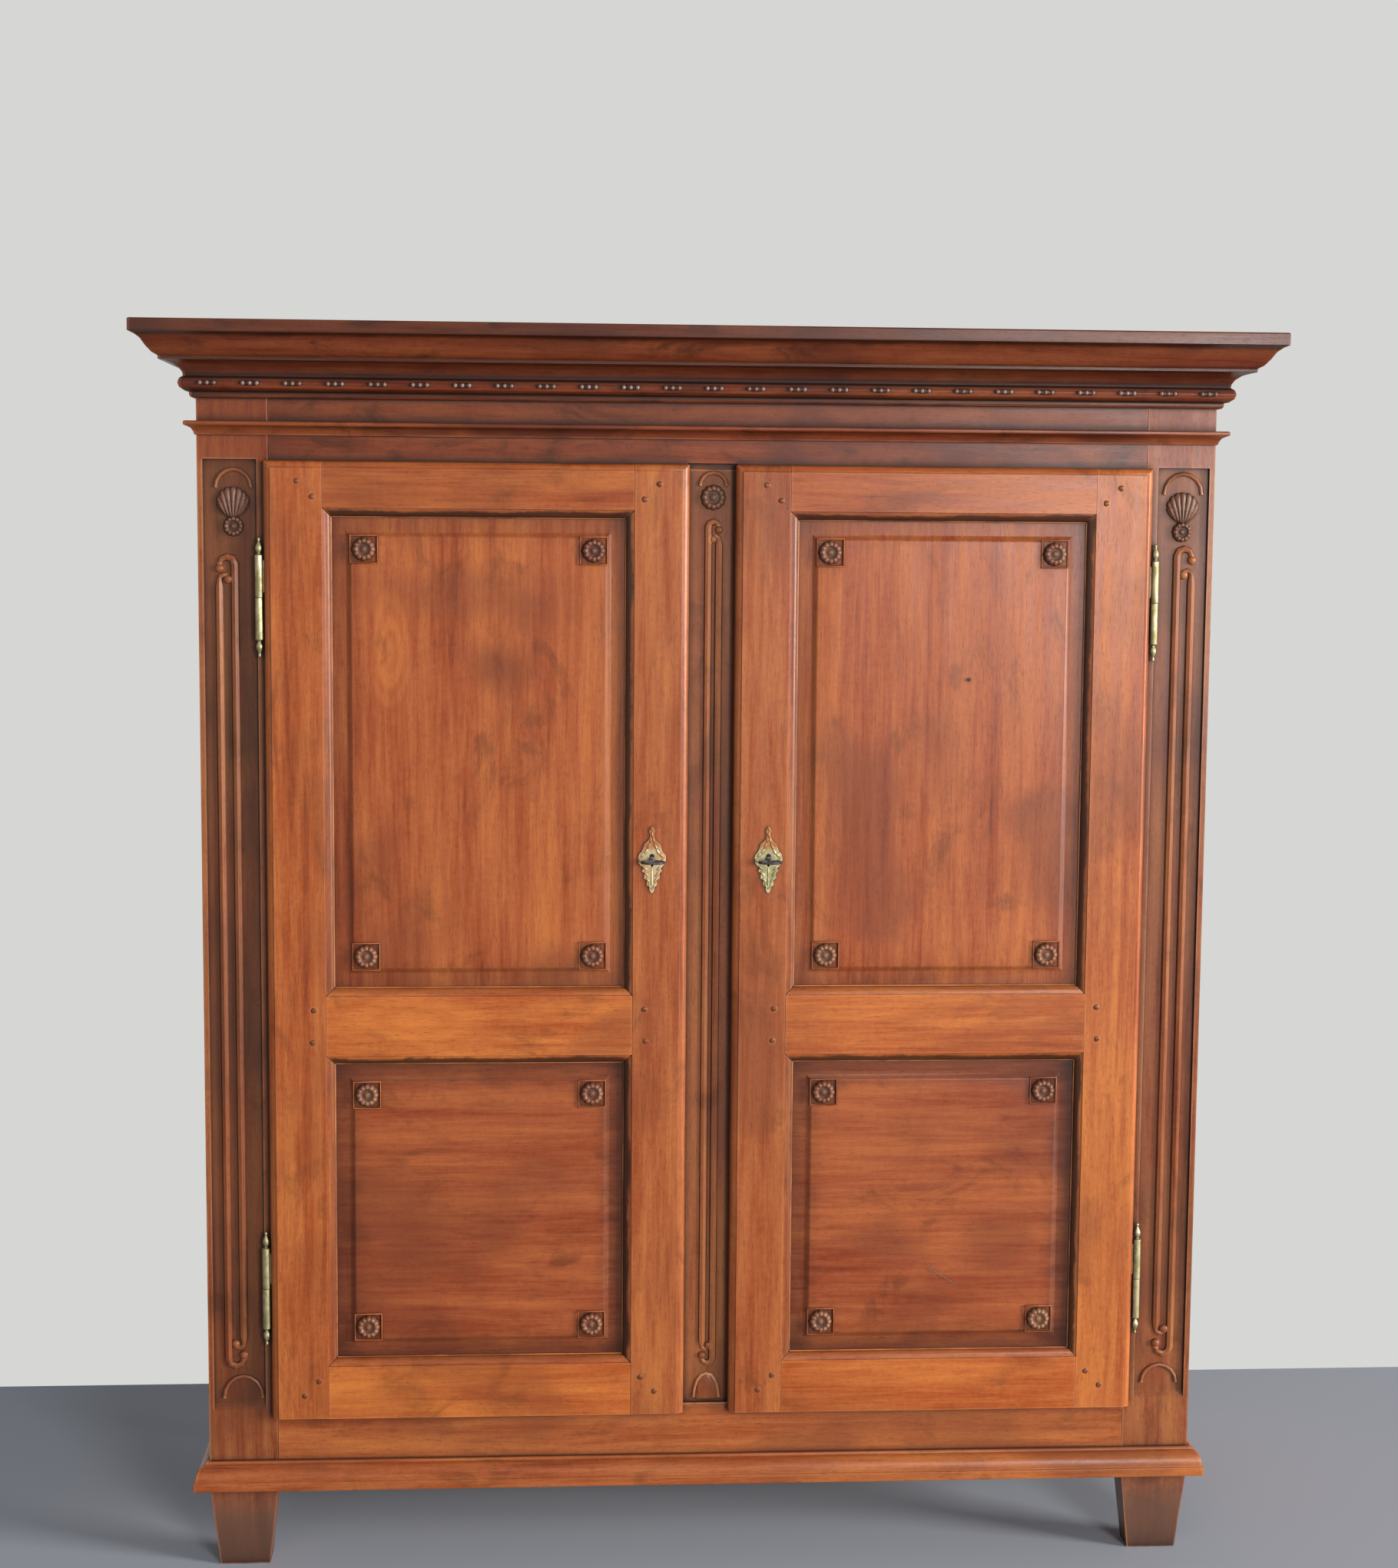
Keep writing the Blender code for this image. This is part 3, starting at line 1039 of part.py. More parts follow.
def make_hinge(name, level, side, parent, stile, post):
    """A fiche hinge: the upper knuckle turns with the door on the pin of the lower one."""
    middle = HINGE_HEIGHTS[level]
    half = BARREL_LENGTH / 2
    knuckle = half - KNUCKLE_GAP / 2
    bore = PIN_RADIUS + PIN_PLAY
    at = (side * HINGE_X, HINGE_Y, middle)
    label = name + "_" + level + "_hinge"
    profile = finial(FINIAL_LENGTH, half, 1) + [
        (BARREL_RADIUS, half), (BARREL_RADIUS, KNUCKLE_GAP / 2), (bore, KNUCKLE_GAP / 2),
        (bore, PIN_LENGTH + PIN_PLAY), (0.0, PIN_LENGTH + PIN_PLAY),
    ]
    upper = turned(label + "_door_knuckle", profile, at, PARTS, BRASS)
    profile = [
        (0.0, PIN_LENGTH), (PIN_RADIUS, PIN_LENGTH), (PIN_RADIUS, -KNUCKLE_GAP / 2),
        (BARREL_RADIUS, -KNUCKLE_GAP / 2), (BARREL_RADIUS, -knuckle),
    ] + finial(FINIAL_LENGTH, -half, -1)[::-1]
    lower = turned(label + "_post_knuckle", profile, at, PARTS, BRASS)
    leaf_z = (middle + LEAF_MARGIN, middle + half - LEAF_MARGIN)
    leaf, slot = hinge_leaf(label + "_door_leaf", side, "across", leaf_z)
    join(upper, leaf)
    cut(stile, slot)
    leaf_z = (middle - half + LEAF_MARGIN, middle - LEAF_MARGIN)
    leaf, slot = hinge_leaf(label + "_post_leaf", side, "inward", leaf_z)
    join(lower, leaf)
    cut(post, slot)
    attach(upper, parent)


def lock_keyhole(name, side, width, low, high):
    """A keyhole cutter: a round hole with a slot below it, along Y."""
    radius = KEY_RADIUS + width
    bow = arc(side * KEY_X, LOCK_HEIGHT, radius, radius, *KEYHOLE_BOW, 0.0, ROUND_STEPS)
    points = [(x, z) for x, _, z in bow]
    foot = LOCK_HEIGHT - BIT_REACH - width
    slot = BIT_THICKNESS / 2 + width
    points += [(side * KEY_X - slot, foot), (side * KEY_X + slot, foot)]
    return prism(name, points, "Y", low, high)


def make_lock(name, side, parent, stile):
    """A rim lock on the inside of the lock stile, with its bolt, its key and a brass key plate."""
    bolt_z = LOCK_HEIGHT + BOLT_RISE
    case_z = (LOCK_HEIGHT - CASE_HEIGHT / 2, LOCK_HEIGHT + CASE_HEIGHT / 2)
    case_y = (DOOR_BACK_Y + FIT, DOOR_BACK_Y + FIT + CASE_DEPTH)
    case_x = (CASE_NEAR_X, CASE_NEAR_X + CASE_LENGTH)
    case = box(name + "_lock_case", span(side, *case_x), case_y, case_z, PARTS, STEEL)
    hollow_x = span(side, case_x[0] + CASE_WALL, case_x[1] - CASE_WALL)
    hollow_y = (case_y[0] + CASE_WALL, case_y[1] - CASE_WALL)
    hollow_z = grown(case_z, -CASE_WALL)
    cut(case, box(name + "_case_hollow", hollow_x, hollow_y, hollow_z))
    mouth_y = (case_y[0] - OVERRUN, hollow_y[0] + CASE_WALL)
    cut(case, lock_keyhole(name + "_case_keyhole", side, KEY_HOLE_PLAY, *mouth_y))
    bolt_y = grown((BOLT_Y, BOLT_Y), BOLT_THICKNESS / 2)
    bolt_up = grown((bolt_z, bolt_z), BOLT_HEIGHT / 2)
    bolt_near = CASE_NEAR_X + BOLT_TIP_BACK
    bolt = box(
        name + "_lock_bolt", span(side, bolt_near, bolt_near + BOLT_LENGTH), bolt_y, bolt_up, PARTS, STEEL
    )
    mouth_x = span(side, case_x[0] - OVERRUN, case_x[0] + CASE_WALL + BOLT_PLAY)
    cut(case, box(name + "_bolt_mouth", mouth_x, grown(bolt_y, BOLT_PLAY), grown(bolt_up, BOLT_PLAY)))
    chamfer = bolt.modifiers.new("edge", "BEVEL")
    chamfer.width = BOLT_PLAY
    chamfer.segments = 1
    through_y = (DOOR_FRONT_Y - OVERRUN, DOOR_BACK_Y + OVERRUN)
    cut(stile, lock_keyhole(name + "_stile_keyhole", side, KEY_HOLE_PLAY, *through_y))
    outline = key_plate_outline(side)
    plate_y = (DOOR_FRONT_Y - FIT - PLATE_THICKNESS, DOOR_FRONT_Y - FIT)
    plate = prism(name + "_key_plate", outline, "Y", *plate_y, PARTS, BRASS)
    cut(plate, lock_keyhole(name + "_plate_keyhole", side, KEY_HOLE_PLAY / 2, *through_y))
    key_parent = new_axis(name + "_key_axis", (side * KEY_X, DOOR_FRONT_Y, LOCK_HEIGHT))
    key = make_key(name, side)
    attach(key, key_parent)
    attach(key_parent, parent)
    for obj in (case, bolt, plate):
        attach(obj, parent)


def key_plate_outline(side):
    height = PLATE_ABOVE + PLATE_BELOW
    right = [(out * PLATE_HALF_WIDTH, up * height - PLATE_BELOW) for out, up in PLATE_SHARES]
    left = [(-out, up) for out, up in right[-2:0:-1]]
    return [(side * KEY_X + out, LOCK_HEIGHT + up) for out, up in right + left]


def make_key(name, side):
    """A steel key with an oval bow that lies level, a collar on its shank and a bit at its end."""
    bow_y = DOOR_FRONT_Y - KEY_STANDOFF - BOW_HALF_LENGTH
    start = bow_y + BOW_HALF_LENGTH
    end = DOOR_BACK_Y + KEY_TIP
    profile = [
        (0.0, end), (KEY_RADIUS, end), (KEY_RADIUS, DOOR_FRONT_Y - PLATE_THICKNESS - 2 * FIT),
        (KEY_COLLAR_RADIUS, DOOR_FRONT_Y - PLATE_THICKNESS - 2 * FIT),
        (KEY_COLLAR_RADIUS, DOOR_FRONT_Y - PLATE_THICKNESS - 2 * FIT - KEY_COLLAR_LENGTH),
        (KEY_RADIUS, DOOR_FRONT_Y - PLATE_THICKNESS - 2 * FIT - KEY_COLLAR_LENGTH),
        (KEY_RADIUS, start - BOW_THICKNESS), (0.0, start - BOW_THICKNESS),
    ]
    mesh_profile = [(radius, place_y - DOOR_FRONT_Y) for radius, place_y in profile]
    key = turned(name + "_key", mesh_profile, (side * KEY_X, DOOR_FRONT_Y, LOCK_HEIGHT), PARTS, STEEL)
    key.rotation_euler = (-math.pi / 2, 0.0, 0.0)
    points = []
    for index in range(2 * ROUND_STEPS):
        turn = math.pi * index / ROUND_STEPS
        across = side * KEY_X + BOW_HALF_WIDTH * math.sin(turn)
        points.append((across, bow_y + BOW_HALF_LENGTH * math.cos(turn), LOCK_HEIGHT))
    bow = ring(name + "_bow", points, BOW_THICKNESS)
    bit_x = grown((side * KEY_X, side * KEY_X), BIT_THICKNESS / 2)
    bit_y = (end - BIT_LENGTH - KEY_RADIUS, end - KEY_RADIUS)
    bit = box(name + "_bit", bit_x, bit_y, (LOCK_HEIGHT - BIT_REACH, LOCK_HEIGHT))
    join(key, bow, bit)
    return key


def ring(name, points, radius):
    """A closed round bar through a loop of points."""
    curve = bpy.data.curves.new(name, "CURVE")
    curve.dimensions = "3D"
    curve.bevel_depth = radius
    curve.bevel_resolution = 1
    spline = curve.splines.new("POLY")
    spline.points.add(len(points) - 1)
    for point, place_at in zip(spline.points, points):
        point.co = (*place_at, 1.0)
    spline.use_cyclic_u = True
    obj = bpy.data.objects.new(name, curve)
    bpy.context.scene.collection.objects.link(obj)
    return place(name, mesh_of(obj, name), CUTTERS, None)


def make_cupboard():
    posts = make_posts()
    rails = make_front_rails(posts)
    centre_post = make_centre_post(*rails)
    make_side_frames(posts)
    make_boards(make_back(posts))
    make_mouldings()
    for name, side in SIDES.items():
        carve_post(name, posts[name][0], side)
        parent, lock_stile, hinge_stile = make_door(name, side)
        for level in HINGE_HEIGHTS:
            make_hinge(name, level, side, parent, hinge_stile, posts[name][0])
        make_lock(name, side, parent, lock_stile)
    carve_post("centre", centre_post, 1)


make_cupboard()
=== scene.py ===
"""Looks of the two-door panelled cupboard: old waxed cherry wood, carving, brass and dark steel.

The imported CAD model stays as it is. Materials go on its nodes and modifiers round their edges. Fine
carving, pearls, pegs, leafwork, keyholes and marks of wear ride on its bodies.
"""

import math
import re

import bmesh
import bpy
from mathutils import Matrix, Vector


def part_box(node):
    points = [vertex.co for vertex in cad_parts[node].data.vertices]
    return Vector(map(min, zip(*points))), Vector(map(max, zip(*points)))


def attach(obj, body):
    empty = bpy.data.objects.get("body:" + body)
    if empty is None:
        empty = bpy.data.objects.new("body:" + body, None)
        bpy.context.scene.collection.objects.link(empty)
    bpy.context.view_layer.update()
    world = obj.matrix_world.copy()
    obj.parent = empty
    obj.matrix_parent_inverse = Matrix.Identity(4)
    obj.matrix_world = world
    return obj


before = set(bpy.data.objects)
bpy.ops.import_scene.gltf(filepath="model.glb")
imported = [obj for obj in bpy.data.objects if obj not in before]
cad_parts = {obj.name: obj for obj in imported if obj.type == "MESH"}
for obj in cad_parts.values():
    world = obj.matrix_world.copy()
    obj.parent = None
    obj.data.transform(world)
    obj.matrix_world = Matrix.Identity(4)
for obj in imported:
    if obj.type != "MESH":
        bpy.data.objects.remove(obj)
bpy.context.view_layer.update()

X, Y, Z = range(3)
SIDES = {"left": -1, "right": 1}
FULL_TURN = 2 * math.pi

# Sizes are in metres. Edges of the CAD nodes
EDGE_ROUND = 0.0011
CARVING_ROUND = 0.0006
WELD_DISTANCE = 0.00002
SHARP_ANGLE = math.radians(32)

# Pearls on the cornice's astragal, pale as a painted highlight, in groups that each lie in a gouge painted
# near black as shade
PEARL_RADIUS = 0.0034
PEARL_PROUD = 0.0010
PEARL_SPACING = 0.0108
PEARL_PITCH = 0.0655  # from group to group, before they are spread evenly
PEARL_END = 0.0450  # from the astragal's corner to the middle of its first group
PEARLS_PER_GROUP = 3
GOUGE_HALF_SIZES = (0.0172, 0.0040, 0.0013)  # along, up and outward
ASTRAGAL_PROJECTION_SHARE = 0.275  # of the cornice's projection
ASTRAGAL_HEIGHT_SHARE = 0.19  # of the cornice's height

# Pegs of the doors
PEG_RADIUS = 0.0058
PEG_SIDES = 10
PEG_PROUD = 0.0002
PEG_DEPTH = 0.001
PEG_CROWN_SHARE = 0.85  # of its radius
PEG_UNEVEN = 0.08  # of its radius, up and down
PEG_LOBES = 3
PEG_TWIST = 5
CORNER_PEGS = (0.027, 0.0115, 0.0120)  # from the joint's line to their middle, then half their steps
MIDDLE_PEGS = (0.020, 0.0010, 0.0260)
STICKING_WIDTH = 0.0145  # from a stile's inner edge to its joint line

# Corner tiles of the door panels
TILE_INSET = 0.0575  # from the panel's edge to the middle of a corner tile
TILE_SINK = 0.002
TILE_RIM_HALF = 0.0224
TILE_RIM_PROFILE = ((0.0, -0.0004), (0.0006, 0.0007), (0.0014, 0.0007), (0.0020, -0.0004))  # inward, up

# Flowers: a button in a bowl, inside a ring of petals
ROSETTE_RADIUS = 0.0188
POST_ROSETTE_RADIUS = 0.0168
CENTRE_ROSETTE_RADIUS = 0.0208
ROSETTE_HEIGHT = 0.0068
ROSETTE_PETALS = 12
ROSETTE_RINGS = 14
SPOKES_PER_PETAL = 8
PETAL_ROUNDNESS = 0.5
PETAL_NOTCH = 0.08  # of the radius, between two petals
PETAL_GROOVE = 0.24  # of the height, between two petals
BUTTON_SHARE = 0.26  # of the radius
BUTTON_RISE = 0.26  # of the height
BOWL_SHARE = 0.52  # of the radius
BOWL_FLOOR = 0.50  # of the height
RING_START = 0.22  # of half a wave, where the ring rises from the bowl
RING_FULLNESS = 0.7
RING_SLOPE = 0.40  # of the height, by which the ring falls towards the bowl
SKIRT_DEPTH = 0.0006  # of all carved discs, into the ground

# Shells and the tongue at the foot of the centre post
SHELL_HALF_WIDTH = 0.0262
SHELL_HALF_HEIGHT = 0.0250
SHELL_LIFT = 0.0071
SHELL_LOBES = 7
SHELL_FOOT_DROP = 1.7  # of its half height, from its middle down to where its lobes would meet
SHELL_NET = (16, 144)  # rings, spokes
SHELL_ROUNDNESS = 0.55
SHELL_NARROWING = 0.16  # of its reach, at the lower corners
SHELL_NOTCH = 0.10  # of its reach, between two lobes
SHELL_GROOVE = 0.42  # of its height, between two lobes
SHELL_RIM_DROP = 0.75
TONGUE_RISE = 0.009  # from the foot of the centre post's sunk panel
TONGUE_HALF_WIDTH = 0.0200
TONGUE_HEIGHT = 0.0440
TONGUE_LIFT = 0.0056
TONGUE_NET = (10, 36)

# Reeds of the posts, whose curled ends carry round knobs
REED_SPACING = {"left": 0.0242, "right": 0.0242, "centre": 0.0170}
REED_HALF_WIDTH = {"left": 0.0072, "right": 0.0072, "centre": 0.0064}
CURL_SHARE = 0.55  # of half the reeds' spacing
HOOK_SHARE = 1.5  # of half the reeds' spacing
KNOB_SHARE = 1.08  # of the reed's half width
KNOB_HEIGHT_SHARE = 0.78  # of its own radius

# Each post's carving, which differs a little from post to post. Places across are from the case's side,
# or on the centre post from its middle. Heights are drops from the top of the post's sunk panel, and the
# second ones of hooks and curls are rises from its foot.
RECESS_DEPTH = 0.006
RECESS_ABOVE_OPENING = 0.009
RECESS_ABOVE_SILL = 0.002
CARVING = {
    "left": {
        "arch": 0.0550, "middle": 0.0445, "shell": 0.067, "rosette": 0.104,
        "hooks": (0.1445, 0.0660), "curls": (0.187, 0.110),
    },
    "right": {
        "arch": 0.0500, "middle": 0.0445, "shell": 0.063, "rosette": 0.1015,
        "hooks": (0.1210, 0.0660), "curls": (0.170, 0.115),
    },
    "centre": {
        "arch": 0.0018, "middle": 0.0030, "rosette": 0.0530,
        "hooks": (0.0845, 0.0613), "curls": (0.119, 0.0970),
    },
}

# Leaves of a key plate: across and up in shares of its half sizes, half width and half height, lean
PLATE_LEAVES = (
    (0.00, -0.55, 0.0016, 0.0200, 0.0), (0.16, -0.78, 0.0017, 0.0048, 28.0),
    (0.28, -0.60, 0.0019, 0.0052, 34.0), (0.40, -0.42, 0.0021, 0.0056, 40.0),
    (0.52, -0.24, 0.0022, 0.0058, 46.0), (0.80, -0.02, 0.0030, 0.0044, 70.0),
    (0.66, 0.14, 0.0026, 0.0050, -40.0), (0.42, 0.24, 0.0024, 0.0060, -30.0),
    (0.24, 0.40, 0.0020, 0.0056, -24.0), (0.10, 0.58, 0.0016, 0.0050, -16.0),
    (0.00, 0.74, 0.0016, 0.0050, 0.0), (0.00, 0.90, 0.0018, 0.0024, 0.0),
)
LEAF_LIFT = 0.0011
# The keyhole is a flat dark disc: painted shade
KEYHOLE_PROUD = 0.0003
KEYHOLE_RISE = 0.0082  # above the middle of the key
KEYHOLE_RADIUS = 0.0038
KEYHOLE_SEGMENTS = 20

# Marks on the right door's panels, from the panel's middle: scratches as across, up, length and lean
SCRATCHES = ((0.000, -0.105, 0.030, 62.0), (0.022, -0.118, 0.052, 33.0))
SCRATCH_HALF_WIDTH = 0.0006
# The hole is a flat dark disc: painted shade
PANEL_HOLE = (0.045, 0.122)
PANEL_HOLE_RADIUS = 0.0030
MARK_PROUD = 0.00015
MARK_SEGMENTS = 12


def linear(*levels):
    """A screen colour in levels of 0 to 255, as the linear colour that a shader takes."""
    shares = [level / 255.0 for level in levels]
    return tuple(share / 12.92 if share <= 0.04045 else ((share + 0.055) / 1.055) ** 2.4 for share in shares)


def shaded(colour, shares):
    """A colour times a share, or times a share for each channel."""
    each = shares if isinstance(shares, tuple) else (shares,) * 3
    return tuple(level * share for level, share in zip(colour, each))


def box(node):
    """The lowest corner, the highest corner and the middle of a CAD node's box."""
    low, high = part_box(node)
    return low, high, (low + high) / 2


GOLDEN = linear(182, 99, 46)
AMBER = linear(174, 95, 47)
TAWNY = linear(164, 90, 47)
COPPER = linear(160, 84, 41)
RUSSET = linear(165, 87, 45)
MAROON = linear(152, 77, 41)
CHESTNUT = linear(148, 85, 49)
PALE_CHESTNUT = shaded(CHESTNUT, 1.25)
UMBER = linear(130, 63, 32)
LOAM = linear(120, 58, 30)
# Pale colour of the scratches, and of the pearls as a painted highlight
PALE_ROSE = linear(134, 104, 88)
FOOT_GREY = linear(96, 70, 58)
ROSY = linear(150, 100, 74)
TAUPE = linear(128, 88, 68)
BOARD = linear(148, 100, 64)
# Dark of hollows, sunk grounds and shade lines: patina and painted shade
PATINA_AND_SHADE = linear(28, 14, 9)
# Near-black gouge under the pearls and dark discs for holes: painted shade
GOUGE_SHADE = shaded(UMBER, 0.3)
HOLE_SHADE = shaded(UMBER, 0.1)
PEG_BROWN = shaded(AMBER, 0.42)
BRASS_BRIGHT = linear(186, 174, 136)
BRASS_GREEN = linear(142, 134, 92)
BRASS_PINK = linear(176, 132, 92)
BRASS_DARK = linear(74, 60, 38)
BRASS_BROWN = linear(150, 92, 52)
STEEL = linear(108, 106, 106)
RUST = linear(54, 44, 40)
FLOOR_COLOUR = linear(188, 195, 206)
WALL_COLOUR = linear(214, 215, 212)

# Woods of the CAD nodes, by a pattern in the node's name, of which the first that fits counts: colour,
# age, share of dirt and painted shade in the hollows, share of worn edges with a painted highlight
WOODS = (
    ("_back_post", CHESTNUT, 0.9, 1.0, 1.0),
    ("^(shelf|top_board|bottom_board|back)", BOARD, 0.8, 1.0, 1.0),
    ("door_top_rail", COPPER, 0.8, 1.0, 1.0),
    ("door_(middle|bottom)_rail", GOLDEN, 0.8, 1.0, 1.0),
    ("hinge_stile", AMBER, 0.8, 1.0, 1.0),
    ("lock_stile", TAWNY, 0.8, 1.0, 1.0),
    ("side_panel", CHESTNUT, 0.9, 1.0, 1.0),
    ("lower_panel", MAROON, 1.0, 0.66, 1.0),
    ("upper_panel", RUSSET, 1.0, 0.66, 1.0),
    ("centre_post", PALE_CHESTNUT, 1.0, 1.0, 1.8),
    ("front_post", CHESTNUT, 1.0, 1.0, 1.8),
    ("base_moulding|front_bottom_rail", TAWNY, 0.9, 1.0, 1.0),
    ("^cornice", LOAM, 1.6, 1.2, 1.0),
    ("", UMBER, 1.6, 1.2, 1.0),
)

# Shares of a wood's colour in its figure, its marks and its worn edges, which are paled towards white as a
# painted highlight
TONE_STOPS = (
    (0.365, (0.48, 0.34, 0.30)), (0.45, (0.84, 0.68, 0.58)), (0.51, 1.0), (0.595, (1.26, 1.42, 1.20)),
)
PALE_SHARES = (1.35, 1.55, 1.35)
PLUM_SHARES = (0.50, 0.47, 0.62)
BROWN_SHARE = 0.30
WORN_HIGHLIGHT_SHARES = (1.45, 2.0, 2.7)

# Layers of noise: waves to the metre across and along the grain, detail, roughness, distortion
SEED_STEPS = (1.37, 0.91, 2.11)
BANDS = (11.0, 1.2, 4.0, 0.58, 1.1)
STREAKS = (70.0, 3.6, 5.0, 0.68, 0.35)
FIBRES = (260.0, 16.0, 4.0, 0.66, 0.2)
PORES = (760.0, 70.0, 2.0, 0.6, 0.0)
FLECKS = (90.0, 130.0, 3.0, 0.7, 0.5)
BLOTCHES = (15.0, 8.0, 6.0, 0.66, 0.8)
CLOUDS = (5.0, 3.2, 3.0, 0.5, 0.3)
PLANING = (16.0, 5.0, 2.0, 0.5, 0.0)

# What each layer adds to the figure
BAND_SHARE = 0.40
STREAK_SHARE = 0.34
FINE_SHARE = 0.26
FIBRE_SHARE = 0.62  # of the fine layers
FLECK_SHARE = 0.38  # of the fine layers

# Figured places: from the node's middle to the figure's, half sizes, rings, strength
FIGURES = {
    "left_door_upper_panel": ((-0.140, 0.0, 0.170), (0.034, 0.10, 0.100), 17.0, 0.50),
    "left_door_middle_rail": ((-0.10, 0.0, 0.010), (0.15, 0.06, 0.040), 11.0, 0.45),
}
FIGURE_LINES = (0.20, 0.78)
FIGURE_FADE = (0.30, 1.20)  # in shares of its size, where its lines begin and end to fade
FIGURE_PALE = (0.35, 1.10, 0.55)  # the same for its paler colour, and how pale it gets
WOBBLE_WAVES = 9.0
FIGURE_WOBBLE = 0.6

# Marks of age, as two values of a layer between which the mark grows, and its full amount
PLUM_CLOUDS = (0.50, 0.68, 0.60)
BROWN_BLOTCHES = (0.52, 0.70, 0.50)
DARK_PORES = (0.30, 0.43, 0.50)

# Dark stains on the panels: across and up from the middle, half width, half height, amount
STAINS = {
    "left_door_upper_panel": (
        (0.026, 0.145, 0.075, 0.055, 0.75), (0.070, 0.215, 0.050, 0.045, 0.40),
        (-0.020, 0.255, 0.190, 0.055, 0.45),
    ),
    "right_door_upper_panel": ((0.000, -0.020, 0.060, 0.090, 0.25),),
    "left_door_lower_panel": ((-0.100, -0.085, 0.110, 0.040, 0.45), (0.090, 0.050, 0.110, 0.045, 0.35)),
    "right_door_lower_panel": ((-0.092, -0.060, 0.090, 0.040, 0.50), (0.120, -0.060, 0.080, 0.060, 0.45)),
}
STAIN_DEPTH = 0.1
STAIN_WOBBLE = 1.4
STAIN_FADE = (0.20, 1.20)

# Grime and painted shade in hollows: how far to look for walls, and the openness at which it is full and
# gone
GROOVE = (0.006, 0.55, 0.86)
HOLLOW = (0.016, 0.50, 0.97)
# The wide reach lays broad painted shade into hollows, in patches
SHADE = (0.060, 0.30, 0.98)
SHADE_PATCHES = (0.30, 0.58, 0.55, 1.0)
SHADE_AMOUNT = 0.85
GRIME_AND_SHADE_AMOUNT = 0.92
HOLLOW_SAMPLES = 6

# Painted shade and dirt on sunk grounds: its amount on each post, and where it shows on the posts and the
# door panels
# The left post's ground is darkest: painted shade where the proud door keeps the light from the right off it
POST_SHADE_AND_GRIME = {"left_front_post": 0.78, "centre_post": 0.42, "right_front_post": 0.38}
PANEL_GROUND_SHADE_AND_GRIME = 0.42
# Flower bowls and the carving's low parts are darkened: painted shade
BOWL_SHADE = 0.80
POST_MARGIN = 0.0082  # of the front posts at the case's sides, which stays undarkened
MARGIN_FADE = 0.0010
POST_FACE = 0.0010  # behind the node's front, where the darkening begins
PANEL_FACE = 0.0026
PANEL_GROUND = 0.0045
GROUND_BACK = (0.0010, 0.0020)  # behind the ground, where the darkening ends
BOWL_TOP = 0.0060  # from the ground up to where a flower's bowl begins to darken
BOWL_FOOT = 0.0038
GROUND_PATCHES = (0.80, 1.15, 0.55, 1.0)
POST_SHADE_AND_GRIME_BY_HEIGHT = (0.35, 1.55, 0.55, 1.0)  # from and to a height, the share of painted shade and dirt on a post's ground, which grows upwards

# Painted shade along lines, where stickings and mouldings turn from the light or lie under a rail or a
# cornice member, and a darker band along the cornice's top: full to and gone at a distance, and its amount
# on each side
RAGGED_SHARE = 1.5  # of its width
PANEL_LINE = (0.010, 0.062)
PANEL_LINE_AMOUNTS = (0.46, 0.62, 0.50, 0.50)  # left, right, lower and upper edge
UPPER_PANEL_SHARE = 0.55
STICKING_LINE = (0.0075, 0.0135)
# Edges that face left, away from the light, take more painted shade than those that face right
STILE_LEFT_AMOUNT = 0.86
STILE_RIGHT_AMOUNT = 0.40
RAIL_FOOT_AMOUNT = 0.86
RAIL_TOP_AMOUNT = 0.30
CORNICE_LINE = (0.0008, 0.0060)
CORNICE_LINE_SHARES = (0.07, 0.30, 0.50, 0.82)  # heights where the cornice's members meet
CORNICE_LINE_AMOUNT = 0.70
CORNICE_TOP_LINE = (0.014, 0.034)
CORNICE_TOP_AMOUNT = 0.45

# Ends of the posts: dust on their feet, and heads that are as dark as the frieze
FOOT_DUST = (0.064, 0.16, 0.85)  # full to and gone at a height, amount
HEAD_DROP = 0.017  # from the top of the sunk panel
HEAD_FADE = 0.02

# Edges, gloss and relief of the wood
EDGE_REACH = 0.0035
EDGE_SAMPLES = 4
EDGE_OPENNESS = (0.45, 0.92)
# Worn edges, paled towards white: partly real wear, partly a painted highlight
WORN_HIGHLIGHT_PATCHES = (0.38, 0.62)
WORN_HIGHLIGHT_AMOUNTS = (0.60, 0.18)
WAX_ROUGHNESS = (0.30, 0.70, 0.27, 0.38)
GRIME_AND_SHADE_ROUGHNESS = 0.25
PLANING_RELIEF = (0.40, 0.0016)
STREAK_RELIEF = (0.25, 0.0005)
PORE_RELIEF = (0.30, -0.0003)

# Metals: waves to the metre of their tarnish, its spread, roughness and relief
TARNISH_NOISE = (4.0, 0.6)
BRASS_WAVES = (90.0, 90.0, 60.0)
BRASS_TARNISH = (0.35, 0.65)
BRASS_ROUGHNESS = (0.3, 0.7, 0.38, 0.56)
BRASS_RELIEF = (0.3, 0.0004)
BRASS_HOLLOW = (0.008, 0.35, 0.95)
BRASS_HOLLOW_AMOUNT = 0.90
PLATE_FADE = 0.014  # from a key plate's middle up to where its tarnish turns brown
PLATE_BROWN = 0.85
STEEL_WAVES = (140.0, 140.0, 140.0)
STEEL_RUST = (0.42, 0.68)
STEEL_ROUGHNESS = (0.3, 0.7, 0.30, 0.60)
STEEL_RELIEF = (0.35, 0.0004)

# Camera, solved from the photograph, whose frame is 1820 by 2042 pixels
PHOTO_WIDTH = 1820
FOCAL_PIXELS = 3121.5
SENSOR_WIDTH = 36.0
CAMERA_PLACE = (-0.2586, -4.0399, 1.6711)
CAMERA_PITCH = math.radians(5.800)  # down
CAMERA_YAW = math.radians(3.625)  # towards +X
CAMERA_ROLL = math.radians(0.448)

